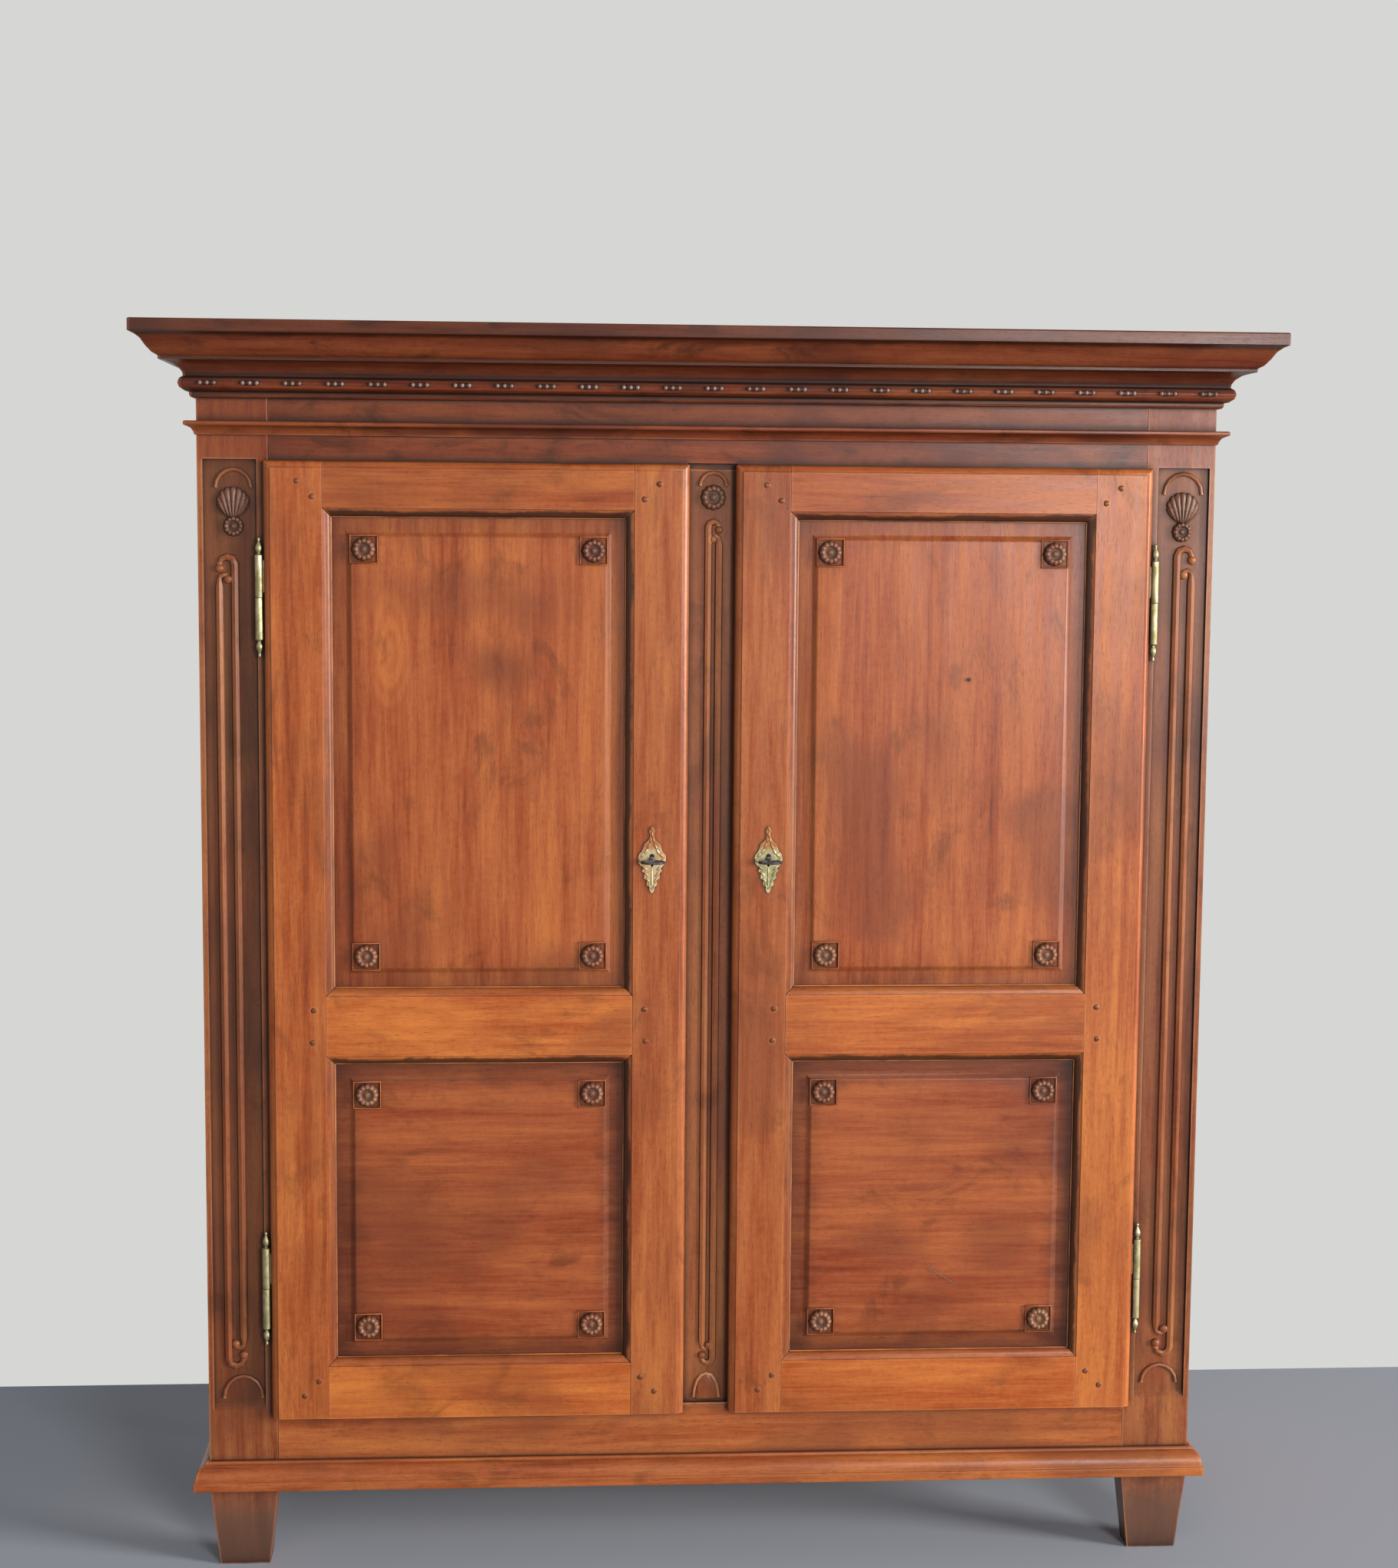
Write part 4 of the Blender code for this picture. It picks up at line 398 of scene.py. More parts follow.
# Stage and light
FLOOR_SIZE = 14.0
FLOOR_EDGE = 0.62  # where the floor ends behind the cupboard, as at the foot of a wall
SKY_COLOUR = (0.93, 0.95, 1.0)
SKY_STRENGTH = 0.15
LAMPS = {  # place, target, size, power in watts, colour
    "window": ((16.0, -7.0, 3.0), (0.0, 0.0, 1.0), (5.0, 6.0), 4100.0, (1.0, 0.98, 0.95)),
    "glare": ((2.9, -7.8, 2.35), (0.5, 0.0, 1.4), (1.9, 2.6), 310.0, (1.0, 0.98, 0.98)),
    "fill": ((-3.2, -7.0, 2.2), (0.0, 0.0, 1.0), (3.0, 3.0), 30.0, (0.95, 0.97, 1.0)),
}

# Places taken from the frame
CASE_FACE = box("front_top_rail")[0].y
CASE_SIDE = box("right_front_post")[1].x
RECESS_TOP = box("front_top_rail")[0].z + RECESS_ABOVE_OPENING
RECESS_FOOT = box("front_bottom_rail")[1].z + RECESS_ABOVE_SILL
RECESS_GROUND = CASE_FACE + RECESS_DEPTH


class Graph:
    """A material's nodes, added one at a time. Values that a method takes are numbers or sockets."""

    def __init__(self, name):
        self.material = bpy.data.materials.new(name)
        self.material.use_nodes = True
        self.tree = self.material.node_tree
        self.shader = self.tree.nodes["Principled BSDF"]
        self.place = self.node("ShaderNodeTexCoord").outputs["Object"]

    def feed(self, socket, value):
        """Set an input, or link it where the value is another node's output."""
        if isinstance(value, bpy.types.NodeSocket):
            self.tree.links.new(value, socket)
        else:
            socket.default_value = value

    def node(self, kind, inputs=(), **settings):
        node = self.tree.nodes.new(kind)
        for key, value in settings.items():
            setattr(node, key, value)
        for key, value in dict(inputs).items():
            self.feed(node.inputs[key], value)
        return node

    def surface(self, **values):
        """Feed the shader's inputs, whose names have underscores for spaces here."""
        for key, value in values.items():
            self.feed(self.shader.inputs[key.replace("_", " ")], value)

    def along(self, axis):
        """How far along an axis of the piece's own coordinates a point lies."""
        return self.node("ShaderNodeSeparateXYZ", {"Vector": self.place}).outputs[axis]

    def scaled(self, scale, shift=(0.0, 0.0, 0.0)):
        """The piece's own coordinates, moved and then scaled."""
        moved = self.node("ShaderNodeVectorMath", {0: self.place, 1: shift}, operation="ADD")
        grown = self.node("ShaderNodeVectorMath", {0: moved.outputs[0], 1: scale}, operation="MULTIPLY")
        return grown.outputs[0]

    def noise(self, vector, detail, roughness, distortion=0.0):
        inputs = {
            "Vector": vector, "Scale": 1.0, "Detail": detail, "Roughness": roughness,
            "Distortion": distortion,
        }
        return self.node("ShaderNodeTexNoise", inputs).outputs["Fac"]

    def spread(self, value, low, high, to_low=0.0, to_high=1.0):
        """A smooth step from one amount to another while a value goes from low to high."""
        inputs = {"Value": value, "From Min": low, "From Max": high, "To Min": to_low, "To Max": to_high}
        return self.node("ShaderNodeMapRange", inputs, interpolation_type="SMOOTHSTEP").outputs["Result"]

    def ramp(self, factor, stops):
        """A colour from stops, each a position and a colour."""
        node = self.node("ShaderNodeValToRGB", {"Fac": factor})
        marks = node.color_ramp.elements
        while len(marks) < len(stops):
            marks.new(1.0)
        for mark, (position, colour) in zip(marks, stops):
            mark.position = position
            mark.color = (*colour, 1.0)
        return node.outputs["Color"]

    def blend(self, factor, first, second, mode="MIX"):
        """Two colours mixed, or the first changed by the second in another mode."""
        node = self.node("ShaderNodeMix", data_type="RGBA", blend_type=mode)
        for index, value in ((0, factor), (6, first), (7, second)):
            plain = isinstance(value, tuple) and len(value) == 3
            self.feed(node.inputs[index], (*value, 1.0) if plain else value)
        return node.outputs[2]

    def maths(self, operation, first, second=0.0):
        return self.node("ShaderNodeMath", {0: first, 1: second}, operation=operation).outputs[0]

    def add(self, first, second):
        return self.maths("ADD", first, second)

    def less(self, first, second):
        return self.maths("SUBTRACT", first, second)

    def times(self, first, second):
        return self.maths("MULTIPLY", first, second)

    def larger(self, first, second):
        return self.maths("MAXIMUM", first, second)

    def bump(self, height, strength, distance, normal=None):
        inputs = {"Height": height, "Strength": strength, "Distance": distance}
        if normal is not None:
            inputs["Normal"] = normal
        return self.node("ShaderNodeBump", inputs).outputs["Normal"]

    def hollow(self, reach, low, high):
        """1 in narrow hollows and 0 in the open."""
        open_to_air = self.node("ShaderNodeAmbientOcclusion", {"Distance": reach}, samples=HOLLOW_SAMPLES)
        return self.spread(open_to_air.outputs["AO"], low, high, 1.0, 0.0)

    def edges(self, reach):
        """1 along outer edges and 0 on the faces between them."""
        kind = "ShaderNodeAmbientOcclusion"
        inside = self.node(kind, {"Distance": reach}, samples=EDGE_SAMPLES, inside=True)
        return self.spread(inside.outputs["AO"], *EDGE_OPENNESS, 1.0, 0.0)

    def sunk(self, face, ground):
        """1 on a sunk ground and 0 on the face before it, behind it and on the case's side margins."""
        deep = self.spread(self.along(Y), face, ground)
        beyond = self.spread(self.along(Y), *(ground + step for step in GROUND_BACK), 1.0, 0.0)
        aside = self.maths("ABSOLUTE", self.along(X))
        margin = CASE_SIDE - POST_MARGIN
        inner = self.spread(aside, margin, margin + MARGIN_FADE, 1.0, 0.0)
        return self.times(self.times(deep, beyond), inner)

    def rim(self, border, patches):
        """Painted shade along a line, as (axis, place, full to, gone at, amount), with a ragged edge."""
        axis, place, full, gone, amount = border
        away = self.maths("ABSOLUTE", self.less(self.along(axis), place))
        ragged = self.times(self.less(patches, 0.5), gone * RAGGED_SHARE)
        return self.spread(self.add(away, ragged), full, gone, amount, 0.0)

    def distance(self, centre, size, wobble):
        """The distance from a place, in shares of a size along each axis, with an uneven outline."""
        away = self.scaled(tuple(1.0 / value for value in size), tuple(-value for value in centre))
        waves = self.noise(self.scaled((WOBBLE_WAVES,) * 3), 2.0, 0.5)
        length = self.node("ShaderNodeVectorMath", {0: away}, operation="LENGTH").outputs["Value"]
        return self.add(length, self.times(self.less(waves, 0.5), wobble))


class Wood(Graph):
    """A waxed old wood in the making: its layers of noise along the grain, and its colour so far."""

    def __init__(self, name, axis, seed, base, age):
        super().__init__(name)
        self.axis = axis
        self.base = base
        self.age = age
        self.shift = tuple(seed * step for step in SEED_STEPS)
        self.streaks = self.layer(STREAKS)
        self.blotches = self.layer(BLOTCHES)
        self.clouds = self.layer(CLOUDS)
        low, high, amount = DARK_PORES
        self.pores = self.spread(self.layer(PORES), low, high, amount, 0.0)
        self.colour = None

    def layer(self, sizes):
        """Noise that is stretched along the grain."""
        across, along, detail, roughness, distortion = sizes
        scale = [across] * 3
        scale[self.axis] = along
        return self.noise(self.scaled(tuple(scale), self.shift), detail, roughness, distortion)

    def tint(self, amount, colour, mode="MIX"):
        self.colour = self.blend(amount, self.colour, colour, mode)

    def grow(self, figure):
        """The clean wood, with growth rings round a figured place where it has one."""
        bands = self.layer(BANDS)
        if figure is not None:
            centre, size, rings, strength = figure
            away = self.distance(centre, size, FIGURE_WOBBLE)
            lines = self.spread(self.maths("SINE", self.times(away, rings)), -1.0, 1.0, *FIGURE_LINES)
            share = self.spread(away, *FIGURE_FADE, strength, 0.0)
            bands = self.add(self.times(bands, self.less(1.0, share)), self.times(lines, share))
        tone = self.add(self.times(bands, BAND_SHARE), self.times(self.streaks, STREAK_SHARE))
        fibres = self.times(self.layer(FIBRES), FIBRE_SHARE)
        fine = self.add(fibres, self.times(self.layer(FLECKS), FLECK_SHARE))
        tone = self.add(tone, self.times(fine, FINE_SHARE))
        self.colour = self.ramp(tone, [(place, shaded(self.base, shares)) for place, shares in TONE_STOPS])
        if figure is not None:
            near, far, amount = FIGURE_PALE
            pale = self.times(self.spread(away, near, far, 1.0, 0.0), amount)
            self.tint(pale, shaded(self.base, PALE_SHARES))

    def darken(self, stains):
        """Plum clouds and stains, brown blotches and dark pores."""
        plum, brown = shaded(self.base, PLUM_SHARES), shaded(self.base, BROWN_SHARE)
        low, high, amount = PLUM_CLOUDS
        self.tint(self.spread(self.clouds, low, high, 0.0, amount * self.age), plum)
        for centre, size, amount in stains:
            self.tint(self.spread(self.distance(centre, size, STAIN_WOBBLE), *STAIN_FADE, amount, 0.0), plum)
        low, high, amount = BROWN_BLOTCHES
        self.tint(self.spread(self.blotches, low, high, 0.0, amount * self.age), brown)
        self.tint(self.pores, brown)

    def end_post(self):
        """Grey dust on a post's foot, and a head as dark as the frieze."""
        self.tint(self.spread(self.along(Z), *FOOT_DUST, 0.0), FOOT_GREY)
        start = RECESS_TOP - HEAD_DROP
        darker = tuple(frieze / post for frieze, post in zip(UMBER, CHESTNUT))
        self.tint(self.spread(self.along(Z), start, start + HEAD_FADE), darker, "MULTIPLY")

    def soil_and_shade(self, share, ground, on_post, borders):
        """Dirt and painted shade in hollows and on a sunk ground, and painted shade along lines; returns how
        dark the hollows and the ground are.
        """
        # Patina and painted shade in narrow hollows, and broader painted shade in wide ones
        near = self.larger(self.hollow(*GROOVE), self.hollow(*HOLLOW))
        wide = self.times(self.hollow(*SHADE), self.spread(self.blotches, *SHADE_PATCHES))
        dark = self.larger(near, self.times(wide, SHADE_AMOUNT * self.age))
        # Painted shade and dirt on a sunk ground, growing upwards on the posts
        if ground is not None:
            face, back, amount = ground
            layer = self.times(self.sunk(face, back), amount)
            if on_post:
                layer = self.times(layer, self.spread(self.along(Z), *POST_SHADE_AND_GRIME_BY_HEIGHT))
            patches = self.spread(self.add(self.clouds, self.streaks), *GROUND_PATCHES)
            dark = self.larger(dark, self.times(layer, patches))
        self.tint(self.times(dark, GRIME_AND_SHADE_AMOUNT * share), PATINA_AND_SHADE)
        # Painted shade along the node's lines
        for border in borders:
            self.tint(self.rim(border, self.blotches), PATINA_AND_SHADE)
        return dark

    def wear_and_highlight_edges(self, share):
        """Bare wood worn smooth along outer edges, paled towards white as a painted highlight."""
        worn_and_lit = self.spread(self.blotches, *WORN_HIGHLIGHT_PATCHES, *(amount * share for amount in WORN_HIGHLIGHT_AMOUNTS))
        worn_highlight = tuple(min(1.0, level) for level in shaded(self.base, WORN_HIGHLIGHT_SHARES))
        self.tint(self.times(self.edges(EDGE_REACH), worn_and_lit), worn_highlight)

    def finish(self, grime_and_shade):
        """The material, duller where dirt and painted shade darken it, with its grain in relief."""
        rough = self.add(self.spread(self.streaks, *WAX_ROUGHNESS), self.times(grime_and_shade, GRIME_AND_SHADE_ROUGHNESS))
        normal = self.bump(self.layer(PLANING), *PLANING_RELIEF)
        normal = self.bump(self.streaks, *STREAK_RELIEF, normal)
        normal = self.bump(self.pores, *PORE_RELIEF, normal)
        self.surface(
            Base_Color=self.colour, Roughness=rough, Normal=normal, Specular_IOR_Level=0.26,
            Coat_Weight=0.05, Coat_Roughness=0.18,
        )
        return self.material


# wear is the share of worn edges, paled towards white as a painted highlight
def wood(
    name, axis, seed, base, age, soil_and_shade=1.0, wear=1.0, figure=None, ground=None, on_post=False, stains=(),
    borders=(),
):
    """Waxed old wood with its grain along an axis; age spots its faces and adds to the dirt and painted
    shade in its hollows.
    """
    made = Wood(name, axis, seed, base, age)
    made.grow(figure)
    made.darken(stains)
    if on_post:
        made.end_post()
    grime_and_shade = made.soil_and_shade(soil_and_shade, ground, on_post, borders)
    made.wear_and_highlight_edges(wear)
    return made.finish(grime_and_shade)


def brass(name, tarnish, fades=False):
    """Dull brass, browner in its hollows; the top of a key plate fades to brown."""
    graph = Graph(name)
    cloud = graph.noise(graph.scaled(BRASS_WAVES), *TARNISH_NOISE)
    colour = graph.blend(graph.spread(cloud, *BRASS_TARNISH), BRASS_BRIGHT, tarnish)
    colour = graph.blend(graph.times(graph.hollow(*BRASS_HOLLOW), BRASS_HOLLOW_AMOUNT), colour, BRASS_DARK)
    if fades:
        middle = box("left_key_plate")[2].z
        ragged = graph.add(graph.along(Z), graph.times(cloud, PLATE_FADE / 2))
        brown = graph.spread(ragged, middle + PLATE_FADE, middle + 2 * PLATE_FADE, 0.0, PLATE_BROWN)
        colour = graph.blend(brown, colour, BRASS_BROWN)
    rough = graph.spread(cloud, *BRASS_ROUGHNESS)
    graph.surface(
        Base_Color=colour, Roughness=rough, Normal=graph.bump(cloud, *BRASS_RELIEF), Metallic=0.75
    )
    return graph.material


def steel(name):
    """Old dark steel with rust in patches."""
    graph = Graph(name)
    cloud = graph.noise(graph.scaled(STEEL_WAVES), *TARNISH_NOISE)
    colour = graph.blend(graph.spread(cloud, *STEEL_RUST), STEEL, RUST)
    rough = graph.spread(cloud, *STEEL_ROUGHNESS)
    graph.surface(Base_Color=colour, Roughness=rough, Normal=graph.bump(cloud, *STEEL_RELIEF), Metallic=0.9)
    return graph.material


def is_door_panel(node):
    return "door" in node and node.endswith("_panel")


def grain_axis(node):
    """The grain runs along a node's longest side, but across on the lower door panels."""
    low, high, _ = box(node)
    return X if node.endswith("lower_panel") else max(range(3), key=lambda axis: high[axis] - low[axis])


def borders_of(node):
    """The lines of painted shade on a node: round the door panels, under rails and cornice members, against
    stiles that turn from the light, and a darker band along the cornice's top.
    """
    low, high, _ = box(node)
    if is_door_panel(node):
        share = 1.0 if "lower" in node else UPPER_PANEL_SHARE
        places = ((X, low.x), (X, high.x), (Z, low.z), (Z, high.z))
        return [
            (axis, place, *PANEL_LINE, amount * share)
            for (axis, place), amount in zip(places, PANEL_LINE_AMOUNTS)
        ]
    if node.endswith("_stile"):
        leftward = node.startswith("left") == ("lock" in node)
        place, amount = (low.x, STILE_LEFT_AMOUNT) if leftward else (high.x, STILE_RIGHT_AMOUNT)
        return [(X, place, *STICKING_LINE, amount)]
    if "door" in node and node.endswith("_rail"):
        foot = [(Z, low.z, *STICKING_LINE, RAIL_FOOT_AMOUNT)] if "bottom" not in node else []
        top = [(Z, high.z, *STICKING_LINE, RAIL_TOP_AMOUNT)] if "top" not in node else []
        return foot + top
    if node.startswith("cornice"):
        heights = [low.z + (high.z - low.z) * share for share in CORNICE_LINE_SHARES]
        lines = [(Z, height, *CORNICE_LINE, CORNICE_LINE_AMOUNT) for height in heights]
        return lines + [(Z, high.z, *CORNICE_TOP_LINE, CORNICE_TOP_AMOUNT)]
    return []


def ground_of(node):
    """The sunk ground of a node's panel that takes painted shade and dirt, as (face, ground, amount), or
    None.
    """
    face = box(node)[0].y
    if node in POST_SHADE_AND_GRIME:
        return face + POST_FACE, face + RECESS_DEPTH, POST_SHADE_AND_GRIME[node]
    if is_door_panel(node):
        return face + PANEL_FACE, face + PANEL_GROUND, PANEL_GROUND_SHADE_AND_GRIME
    return None


def wood_of(node, seed):
    """The wood of a node: its grain, its colour, its figure, and how aged, grimy and worn it is."""
    base, age, soil_and_shade, wear = next(row[1:] for row in WOODS if re.search(row[0], node))
    middle = box(node)[2]
    figure = None
    if node in FIGURES:
        offset, size, rings, strength = FIGURES[node]
        figure = (middle + Vector(offset), size, rings, strength)
    stains = [
        (middle + Vector((across, 0.0, up)), (half_width, STAIN_DEPTH, half_height), amount)
        for across, up, half_width, half_height, amount in STAINS.get(node, ())
    ]
    return wood(
        "wood_" + node, grain_axis(node), seed, base, age, soil_and_shade, wear, figure, ground_of(node),
        "post" in node, stains, borders_of(node),
    )


def metal_of(node):
    """The name of a node's metal, or None where it is wood."""
    if "knuckle" in node:
        return "hinge"
    if node.endswith("_key_plate"):
        return node.split("_")[0]
    if "_lock_" in node and "stile" not in node or node.endswith("_key"):
        return "steel"
    return None


def dress_frame(metals):
    """A material and slightly rounded edges for every CAD node."""
    for seed, node in enumerate(sorted(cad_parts)):
        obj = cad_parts[node]
        metal = metal_of(node)
        obj.data.materials.clear()
        obj.data.materials.append(metals[metal] if metal else wood_of(node, seed))
        soften(obj, CARVING_ROUND if metal or "post" in node else EDGE_ROUND)


def soften(obj, width):
    """Rounded edges and smooth curved faces, by modifiers alone."""
    for polygon in obj.data.polygons:
        polygon.use_smooth = True
    weld = obj.modifiers.new("weld", "WELD")
    weld.merge_threshold = WELD_DISTANCE
    bevel = obj.modifiers.new("edges", "BEVEL")
    bevel.width = width
    bevel.segments = 2
    bevel.limit_method = "ANGLE"
    bevel.angle_limit = SHARP_ANGLE
    bevel.use_clamp_overlap = True
    shade = obj.modifiers.new("shading", "WEIGHTED_NORMAL")
    shade.keep_sharp = False


def piece(name, bm, material, body):
    """A mesh of the scene's own that rides on a CAD body."""
    bmesh.ops.recalc_face_normals(bm, faces=bm.faces)
    mesh = bpy.data.meshes.new(name)
    bm.to_mesh(mesh)
    bm.free()
    for polygon in mesh.polygons:
        polygon.use_smooth = True
    mesh.materials.append(material)
    obj = bpy.data.objects.new(name, mesh)
    bpy.context.scene.collection.objects.link(obj)
    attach(obj, body)


def lump(bm, place, radius, subdivisions, shape):
    """A ball at a place, stretched and turned by a matrix."""
    matrix = Matrix.Translation(place) @ shape
    bmesh.ops.create_icosphere(bm, subdivisions=subdivisions, radius=radius, matrix=matrix)


def flat_disc(bm, place, radius, segments, shape=Matrix.Identity(4)):
    """A round face at a place, turned to -Y and then shaped by a matrix."""
    matrix = Matrix.Translation(place) @ shape @ Matrix.Rotation(math.pi / 2, 4, "X")
    bmesh.ops.create_circle(bm, cap_ends=True, segments=segments, radius=radius, matrix=matrix)


def close_ring(bm, inner, outer):
    """Faces between two rings of as many corners."""
    for index in range(len(inner)):
        following = (index + 1) % len(inner)
        bm.faces.new((inner[index], inner[following], outer[following], outer[index]))


def carved_disc(bm, centre, radius, height_at, edge_at, rings, spokes, arc=FULL_TURN):
    """A relief that faces -Y: a polar net whose height and outline follow two functions."""
    middle = bm.verts.new(centre + Vector((0.0, -height_at(0.0, 0.0), 0.0)))
    columns = spokes if arc == FULL_TURN else spokes + 1
    net = []
    for ring in range(1, rings + 2):
        share = min(ring / rings, 1.0)
        row = []
        for spoke in range(columns):
            turn = arc * spoke / spokes
            reach = radius * share * edge_at(turn)
            lift = SKIRT_DEPTH if ring > rings else -height_at(share, turn)
            row.append(bm.verts.new(centre + Vector((reach * math.cos(turn), lift, reach * math.sin(turn)))))
        net.append(row)
    for spoke in range(spokes):
        following = (spoke + 1) % columns
        bm.faces.new((middle, net[0][spoke], net[0][following]))
        for inner, outer in zip(net, net[1:]):
            bm.faces.new((inner[spoke], outer[spoke], outer[following], inner[following]))


def rosette(bm, centre, radius):
    """A round flower: a button in a deep bowl, inside a swelling ring cut into petals."""
    def lobe_at(turn):
        return abs(math.cos(ROSETTE_PETALS * turn / 2)) ** PETAL_ROUNDNESS

    def edge_at(turn):
        return 1.0 - PETAL_NOTCH + PETAL_NOTCH * lobe_at(turn)

    def height_at(share, turn):
        if share < BUTTON_SHARE:
            button = math.sqrt(max(0.0, 1 - (share / BUTTON_SHARE) ** 2))
            return ROSETTE_HEIGHT * (BOWL_FLOOR + BUTTON_RISE * button)
        if share < BOWL_SHARE:
            return ROSETTE_HEIGHT * BOWL_FLOOR
        out = (share - BOWL_SHARE) / (1.0 - BOWL_SHARE)
        swell = math.sin(math.pi * min(1.0, RING_START + (1.0 - RING_START) * out)) ** RING_FULLNESS
        ring = 1.0 - PETAL_GROOVE + PETAL_GROOVE * lobe_at(turn) - RING_SLOPE * (1.0 - out)
        return ROSETTE_HEIGHT * (BOWL_FLOOR * (1.0 - out) + ring * swell)

    spokes = ROSETTE_PETALS * SPOKES_PER_PETAL
    carved_disc(bm, centre, radius, height_at, edge_at, ROSETTE_RINGS, spokes)


def tile_rim(bm, centre):
    """A thin raised fillet round a corner tile."""
    corners = ((-1, -1), (1, -1), (1, 1), (-1, 1))
    rings = []
    for inward, height in TILE_RIM_PROFILE:
        half = TILE_RIM_HALF - inward
        rings.append([bm.verts.new(centre + Vector((x * half, -height, z * half))) for x, z in corners])
    for inner, outer in zip(rings, rings[1:] + rings[:1]):
        close_ring(bm, inner, outer)


def panel_rosettes(node, woods, body):
    """Four flowers on the sunk tiles of a door panel's corners, and the fillets round the tiles."""
    low, high, _ = box(node)
    flowers, rims = bmesh.new(), bmesh.new()
    for across in (low.x + TILE_INSET, high.x - TILE_INSET):
        for up in (low.z + TILE_INSET, high.z - TILE_INSET):
            rosette(flowers, Vector((across, low.y + TILE_SINK, up)), ROSETTE_RADIUS)
            tile_rim(rims, Vector((across, low.y, up)))
    piece(node + "_rosettes", flowers, woods["rosettes"], body)
    piece(node + "_tile_rims", rims, woods["tile_rims"], body)


def shell(bm, middle):
    """A scallop whose rounded lobes run up from below it between deep grooves."""
    foot_drop = SHELL_FOOT_DROP * SHELL_HALF_HEIGHT
    step = math.atan(SHELL_HALF_WIDTH / foot_drop) * 2 / SHELL_LOBES

    def lobe_at(across, up):
        return abs(math.cos(math.pi * math.atan2(across, up + foot_drop) / step)) ** SHELL_ROUNDNESS

    def edge_at(turn):
        across, up = SHELL_HALF_WIDTH * math.cos(turn), SHELL_HALF_HEIGHT * math.sin(turn)
        narrow = 1.0 - SHELL_NARROWING * max(0.0, -math.sin(turn)) * abs(math.cos(turn))
        notch = 1.0 - SHELL_NOTCH + SHELL_NOTCH * lobe_at(across, up) if up > 0 else 1.0
        return math.hypot(across, up) * narrow * notch

    def height_at(share, turn):
        reach = share * edge_at(turn)
        swell = math.sqrt(max(0.0, 1.0 - SHELL_RIM_DROP * share ** 4))
        lobe = lobe_at(reach * math.cos(turn), reach * math.sin(turn))
        return SHELL_LIFT * swell * (1.0 - SHELL_GROOVE + SHELL_GROOVE * lobe)

    carved_disc(bm, middle, 1.0, height_at, edge_at, *SHELL_NET)


def tongue(bm, foot):
    """The rounded tongue inside the arch at the foot of the centre post."""
    def edge_at(turn):
        return 1.0 / math.hypot(math.cos(turn) / TONGUE_HALF_WIDTH, math.sin(turn) / TONGUE_HEIGHT)

    def height_at(share, turn):
        return TONGUE_LIFT * math.sqrt(max(0.0, 1.0 - share ** 3))

    carved_disc(bm, foot, 1.0, height_at, edge_at, *TONGUE_NET, math.pi)


def post_carving(post, woods):
    """The shell, flower and knobs of the reeds on the ground of a post's sunk panel."""
    sizes = CARVING[post]
    sign = SIDES.get(post, 1)
    arch, middle = (
        sign * (CASE_SIDE - sizes[key]) if post in SIDES else sizes[key] for key in ("arch", "middle")
    )
    carving, knobs = bmesh.new(), bmesh.new()
    radius = POST_ROSETTE_RADIUS if post in SIDES else CENTRE_ROSETTE_RADIUS
    rosette(carving, Vector((arch, RECESS_GROUND, RECESS_TOP - sizes["rosette"])), radius)
    if "shell" in sizes:
        shell(carving, Vector((arch, RECESS_GROUND, RECESS_TOP - sizes["shell"])))
    else:
        tongue(knobs, Vector((arch, RECESS_GROUND, RECESS_FOOT + TONGUE_RISE)))
    half, width = REED_SPACING[post] / 2, REED_HALF_WIDTH[post]
    round_end = Matrix.Diagonal((1.0, KNOB_HEIGHT_SHARE, 1.0, 1.0))
    for up, end, hook, curl in zip((1, -1), (RECESS_TOP, RECESS_FOOT), sizes["hooks"], sizes["curls"]):
        own = middle + up * sign * half
        turned = own - up * sign * 2 * CURL_SHARE * half
        hook_end = end - up * hook - up * (width + HOOK_SHARE * half)
        for across, height in ((own, hook_end), (turned, end - up * curl)):
            lump(knobs, Vector((across, RECESS_GROUND, height)), width * KNOB_SHARE, 3, round_end)
    piece(post + "_post_carving", carving, woods["carving"], "case")
    piece(post + "_post_knobs", knobs, woods["knobs"], "case")


def pearl_row(name, start, end, outward, woods):
    """Groups of pale pearls, their paleness a painted highlight, each lying in a gouge painted dark as
    shade, along a line on the cornice's astragal.
    """
    run = end - start
    direction = run.normalized()
    gaps = round((run.length - 2 * PEARL_END) / PEARL_PITCH)
    pitch = (run.length - 2 * PEARL_END) / gaps
    turn = Matrix((direction, Vector((0.0, 0.0, 1.0)), outward)).transposed().to_4x4()
    flat = turn @ Matrix.Diagonal((*GOUGE_HALF_SIZES, 1.0))
    pearls, gouge_shades = bmesh.new(), bmesh.new()
    for group in range(gaps + 1):
        middle = start + direction * (PEARL_END + group * pitch)
        lump(gouge_shades, middle, 1.0, 3, flat)
        for index in range(PEARLS_PER_GROUP):
            place = middle + direction * (index - (PEARLS_PER_GROUP - 1) / 2) * PEARL_SPACING
            lump(pearls, place + outward * PEARL_PROUD, PEARL_RADIUS, 2, Matrix.Identity(4))
    piece(name + "_gouges", gouge_shades, woods["gouge_shades"], "case")
    piece(name, pearls, woods["pearls"], "case")


def cornice_pearls(woods):
    """Rows of pearls along the front and both sides of the cornice."""
    low, high, _ = box("cornice_front")
    projection = (CASE_FACE - low.y) * ASTRAGAL_PROJECTION_SHARE
    up = low.z + (high.z - low.z) * ASTRAGAL_HEIGHT_SHARE
    reach, near, back = CASE_SIDE + projection, CASE_FACE - projection, box("right_back_post")[1].y
    corners = {side: Vector((sign * reach, near, up)) for side, sign in SIDES.items()}
    pearl_row("cornice_pearls_front", corners["left"], corners["right"], Vector((0, -1, 0)), woods)
    for side, sign in SIDES.items():
        end = Vector((sign * reach, back, up))
        pearl_row("cornice_pearls_" + side, corners[side], end, Vector((sign, 0, 0)), woods)


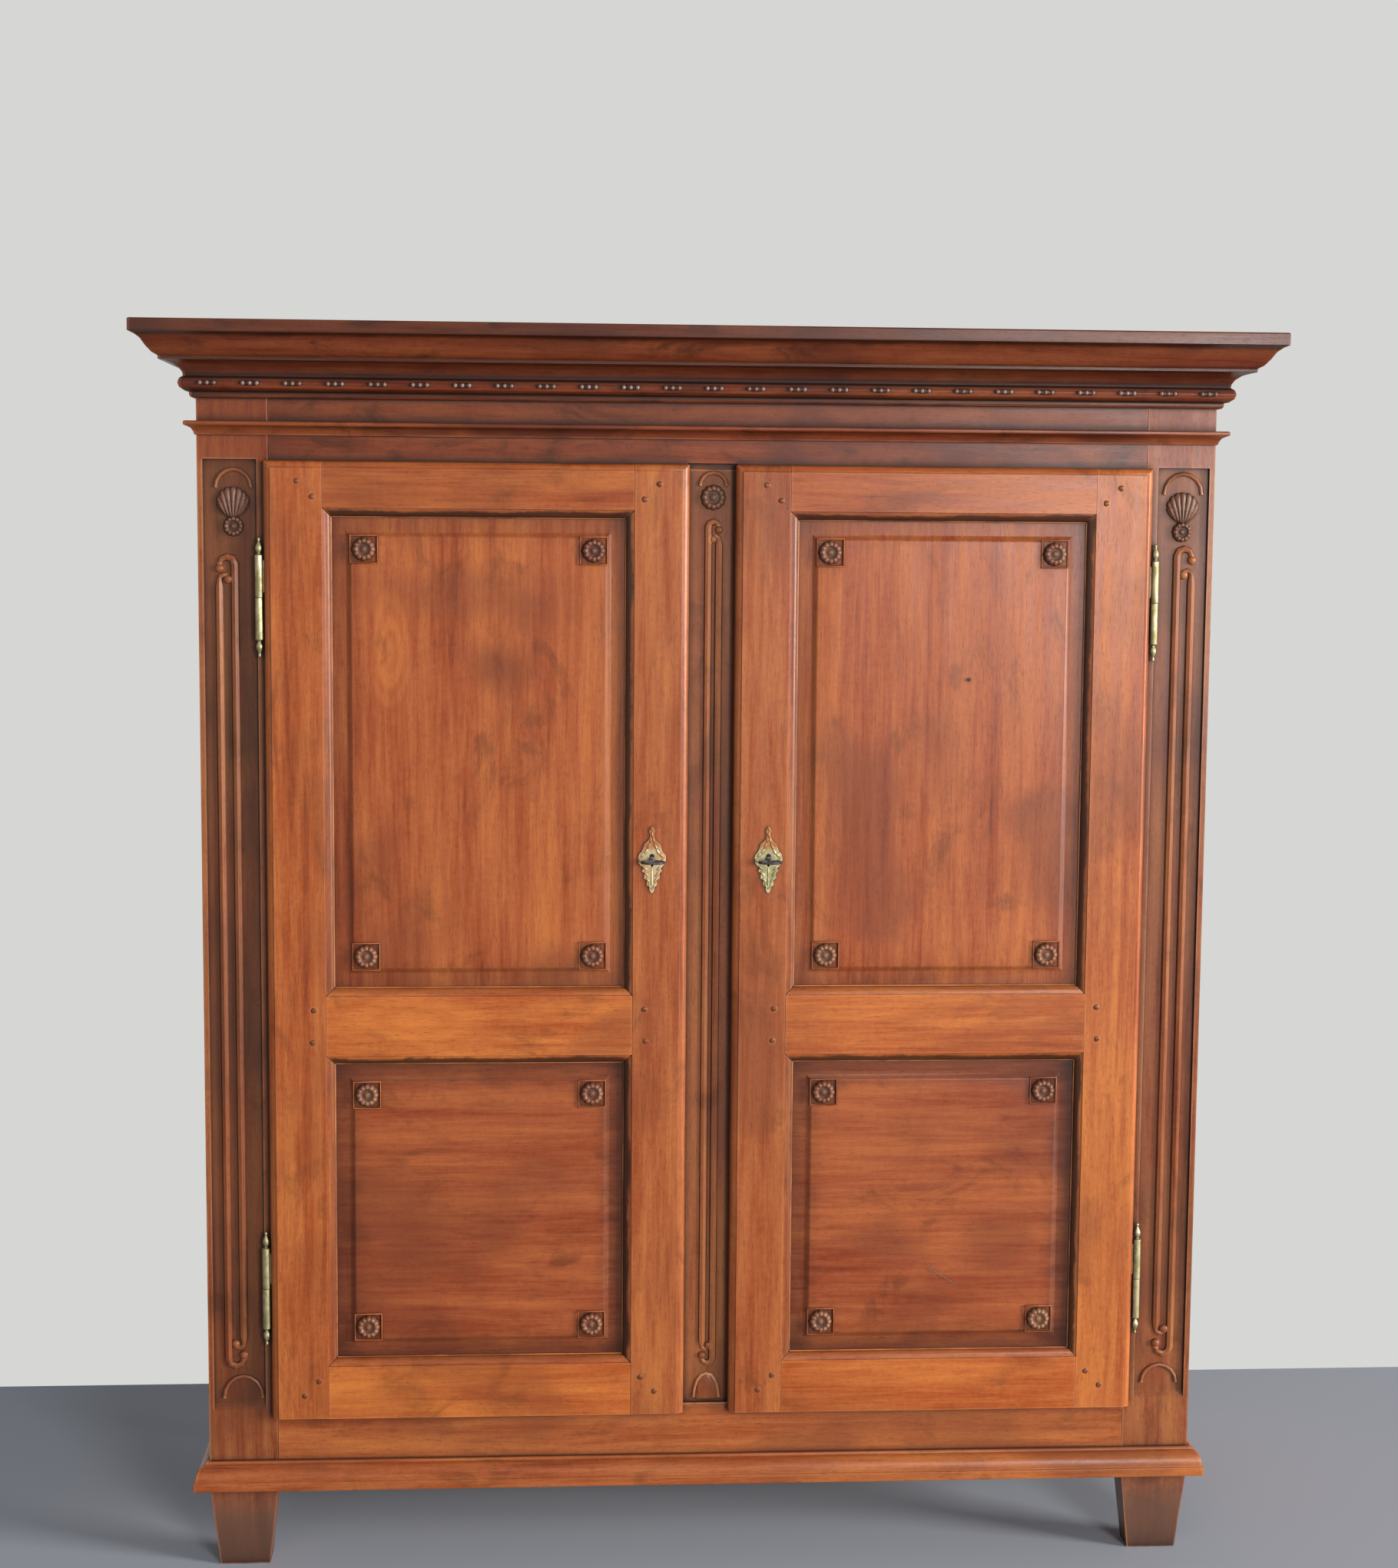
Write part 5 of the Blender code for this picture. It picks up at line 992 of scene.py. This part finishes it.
def peg(bm, place, tilt):
    """One slightly proud, uneven peg end that faces -Y."""
    rim, crown = [], []
    for index in range(PEG_SIDES):
        turn = FULL_TURN * index / PEG_SIDES + tilt
        radius = PEG_RADIUS * (1.0 + PEG_UNEVEN * math.cos(PEG_LOBES * turn + PEG_TWIST * tilt))
        x, z = radius * math.cos(turn), radius * math.sin(turn)
        rim.append(bm.verts.new(place + Vector((x, PEG_DEPTH, z))))
        crown.append(bm.verts.new(place + Vector((x * PEG_CROWN_SHARE, -PEG_PROUD, z * PEG_CROWN_SHARE))))
    bm.faces.new(crown)
    close_ring(bm, rim, crown)


def door_pegs(side, material):
    """Two pegs through each mortise of the stiles; those at the corners stand on the door's diagonal."""
    bm = bmesh.new()
    for stile, outward in (("hinge_stile", SIDES[side]), ("lock_stile", -SIDES[side])):
        low, high, middle = box(side + "_door_" + stile)
        line = middle.x - outward * (high.x - low.x) / 2 + outward * STICKING_WIDTH
        for rail, upward in (("top_rail", 1), ("middle_rail", -1), ("bottom_rail", -1)):
            height = box(side + "_door_" + rail)[2].z
            inset, across, up = MIDDLE_PEGS if rail == "middle_rail" else CORNER_PEGS
            for way in (-1, 1):
                x = line + outward * (inset + way * across)
                peg(bm, Vector((x, low.y, height + way * upward * up)), way + upward * outward)
    piece(side + "_door_pegs", bm, material, side + "_door")


def plate_leaves(side, material):
    """Leafwork in low relief on a key plate."""
    low, high, middle = box(side + "_key_plate")
    half_x, half_z = (high.x - low.x) / 2, (high.z - low.z) / 2
    bm = bmesh.new()
    for across, up, wide, tall, lean in PLATE_LEAVES:
        for way in (-1, 1) if across else (1,):
            place = Vector((middle.x + way * across * half_x, low.y, middle.z + up * half_z))
            turn = Matrix.Rotation(math.radians(way * lean), 4, "Y")
            lump(bm, place, 1.0, 2, turn @ Matrix.Diagonal((wide, LEAF_LIFT, tall, 1.0)))
    piece(side + "_plate_leaves", bm, material, side + "_door")


def keyhole(side, material):
    """A dark disc above the key's shank: painted shade where the keyhole opens."""
    face, middle = box(side + "_key_plate")[0].y, box(side + "_key")[2]
    bm = bmesh.new()
    place = Vector((middle.x, face - KEYHOLE_PROUD, middle.z + KEYHOLE_RISE))
    flat_disc(bm, place, KEYHOLE_RADIUS, KEYHOLE_SEGMENTS)
    piece(side + "_keyhole", bm, material, side + "_door")


def marks(scratch_material, hole_shade_material):
    """Two pale scratches, and a dark disc as the painted shade of a small hole, in the panels of the right
    door.
    """
    low, _, middle = box("right_door_lower_panel")
    bm = bmesh.new()
    for across, up, length, lean in SCRATCHES:
        place = Vector((middle.x + across, low.y - MARK_PROUD, middle.z + up))
        turn = Matrix.Rotation(math.radians(lean), 4, "Y")
        line = Matrix.Diagonal((length / 2, 1.0, SCRATCH_HALF_WIDTH, 1.0))
        flat_disc(bm, place, 1.0, MARK_SEGMENTS, turn @ line)
    piece("right_door_scratches", bm, scratch_material, "right_door")
    low, _, middle = box("right_door_upper_panel")
    bm = bmesh.new()
    across, up = PANEL_HOLE
    place = Vector((middle.x + across, low.y - MARK_PROUD, middle.z + up))
    flat_disc(bm, place, PANEL_HOLE_RADIUS, MARK_SEGMENTS)
    piece("right_door_hole", bm, hole_shade_material, "right_door")


def ornament_woods():
    """The woods of the scene's own pieces."""
    tile_ground = box("left_door_upper_panel")[0].y + TILE_SINK
    # Painted shade on the carving's low parts and in the flowers' bowls
    carving_shade, bowl_shade = ((y - BOWL_TOP, y - BOWL_FOOT, BOWL_SHADE) for y in (RECESS_GROUND, tile_ground))
    return {
        "carving": wood("wood_carving", Z, 71.0, TAUPE, 1.0, wear=0.0, ground=carving_shade),
        "knobs": wood("wood_knobs", Z, 72.0, CHESTNUT, 0.6, soil_and_shade=0.8, wear=0.0),
        "rosettes": wood("wood_rosettes", Z, 29.0, ROSY, 0.7, soil_and_shade=0.75, wear=0.0, ground=bowl_shade),
        # Fillets in a paler, less darkened wood than the panel: a painted highlight on their arrises
        "tile_rims": wood("wood_tile_rims", Z, 31.0, AMBER, 0.8, soil_and_shade=0.4, wear=0.0),
        # Pale pearls: a painted highlight
        "pearls": wood("wood_pearls", Z, 53.0, PALE_ROSE, 0.3, wear=0.7),
        # Near-black gouge: painted shade round the pearls
        "gouge_shades": wood("wood_gouges", X, 47.0, GOUGE_SHADE, 1.0, wear=0.2),
        # Dark discs for holes: painted shade
        "holes": wood("keyhole_shade", Z, 17.0, HOLE_SHADE, 1.0, wear=0.0),
        "scratches": wood("wood_scratches", X, 19.0, PALE_ROSE, 0.0, soil_and_shade=0.0, wear=0.0),
        "pegs": wood("wood_pegs", Y, 83.0, PEG_BROWN, 0.3, wear=0.1),
    }


def make_camera():
    """The photograph's camera, without lens shift."""
    data = bpy.data.cameras.new("camera")
    data.sensor_fit = "HORIZONTAL"
    data.sensor_width = SENSOR_WIDTH
    data.lens = FOCAL_PIXELS * SENSOR_WIDTH / PHOTO_WIDTH
    camera = bpy.data.objects.new("camera", data)
    forward = Vector((
        math.sin(CAMERA_YAW) * math.cos(CAMERA_PITCH),
        math.cos(CAMERA_YAW) * math.cos(CAMERA_PITCH),
        -math.sin(CAMERA_PITCH),
    ))
    level = Vector((math.cos(CAMERA_YAW), -math.sin(CAMERA_YAW), 0.0))
    upright = level.cross(forward)
    right = math.cos(CAMERA_ROLL) * level + math.sin(CAMERA_ROLL) * upright
    up = -math.sin(CAMERA_ROLL) * level + math.cos(CAMERA_ROLL) * upright
    turn = Matrix((right, up, -forward)).transposed()
    camera.matrix_world = Matrix.Translation(CAMERA_PLACE) @ turn.to_4x4()
    bpy.context.scene.collection.objects.link(camera)
    bpy.context.scene.camera = camera


def make_floor():
    """A pale floor that ends behind the cupboard."""
    graph = Graph("floor")
    graph.surface(Base_Color=(*FLOOR_COLOUR, 1.0), Roughness=0.75)
    bpy.ops.mesh.primitive_plane_add(size=FLOOR_SIZE)
    floor = bpy.context.object
    floor.name = "floor"
    floor.location.y = FLOOR_EDGE - FLOOR_SIZE / 2
    floor.data.materials.append(graph.material)


def make_world():
    """A weak soft light, and a background in the wall's colour for the camera and for reflections."""
    world = bpy.data.worlds.new("studio")
    bpy.context.scene.world = world
    world.use_nodes = True
    tree = world.node_tree
    tree.nodes.clear()
    output = tree.nodes.new("ShaderNodeOutputWorld")
    mixer = tree.nodes.new("ShaderNodeMixShader")
    lit, seen = (tree.nodes.new("ShaderNodeBackground") for _ in range(2))
    for background, colour, strength in ((lit, SKY_COLOUR, SKY_STRENGTH), (seen, WALL_COLOUR, 1.0)):
        background.inputs["Color"].default_value = (*colour, 1.0)
        background.inputs["Strength"].default_value = strength
    path = tree.nodes.new("ShaderNodeLightPath")
    any_view = path.outputs["Is Camera Ray"]
    for kind in ("Is Glossy Ray", "Is Transmission Ray"):
        either = tree.nodes.new("ShaderNodeMath")
        either.operation = "MAXIMUM"
        tree.links.new(any_view, either.inputs[0])
        tree.links.new(path.outputs[kind], either.inputs[1])
        any_view = either.outputs[0]
    for index, value in enumerate((any_view, lit.outputs[0], seen.outputs[0])):
        tree.links.new(value, mixer.inputs[index])
    tree.links.new(mixer.outputs[0], output.inputs["Surface"])


def area_light(name, place, target, size, power, colour):
    data = bpy.data.lights.new(name, "AREA")
    data.shape = "RECTANGLE"
    data.size, data.size_y = size
    data.energy = power
    data.color = colour
    light = bpy.data.objects.new(name, data)
    light.location = place
    light.rotation_euler = (Vector(target) - Vector(place)).to_track_quat("-Z", "Y").to_euler()
    bpy.context.scene.collection.objects.link(light)


metals = {
    "hinge": brass("brass_hinges", BRASS_GREEN),
    "left": brass("brass_left_plate", BRASS_PINK, fades=True),
    "right": brass("brass_right_plate", BRASS_GREEN, fades=True),
    "steel": steel("old_steel"),
}
dress_frame(metals)
woods = ornament_woods()
for post in CARVING:
    post_carving(post, woods)
for door_side in SIDES:
    for panel in ("upper_panel", "lower_panel"):
        panel_rosettes(door_side + "_door_" + panel, woods, door_side + "_door")
    door_pegs(door_side, woods["pegs"])
    plate_leaves(door_side, metals[door_side])
    keyhole(door_side, woods["holes"])
cornice_pearls(woods)
marks(woods["scratches"], woods["holes"])
make_camera()
make_floor()
make_world()
for lamp, settings in LAMPS.items():
    area_light(lamp, *settings)
bpy.context.scene.view_settings.view_transform = "Standard"
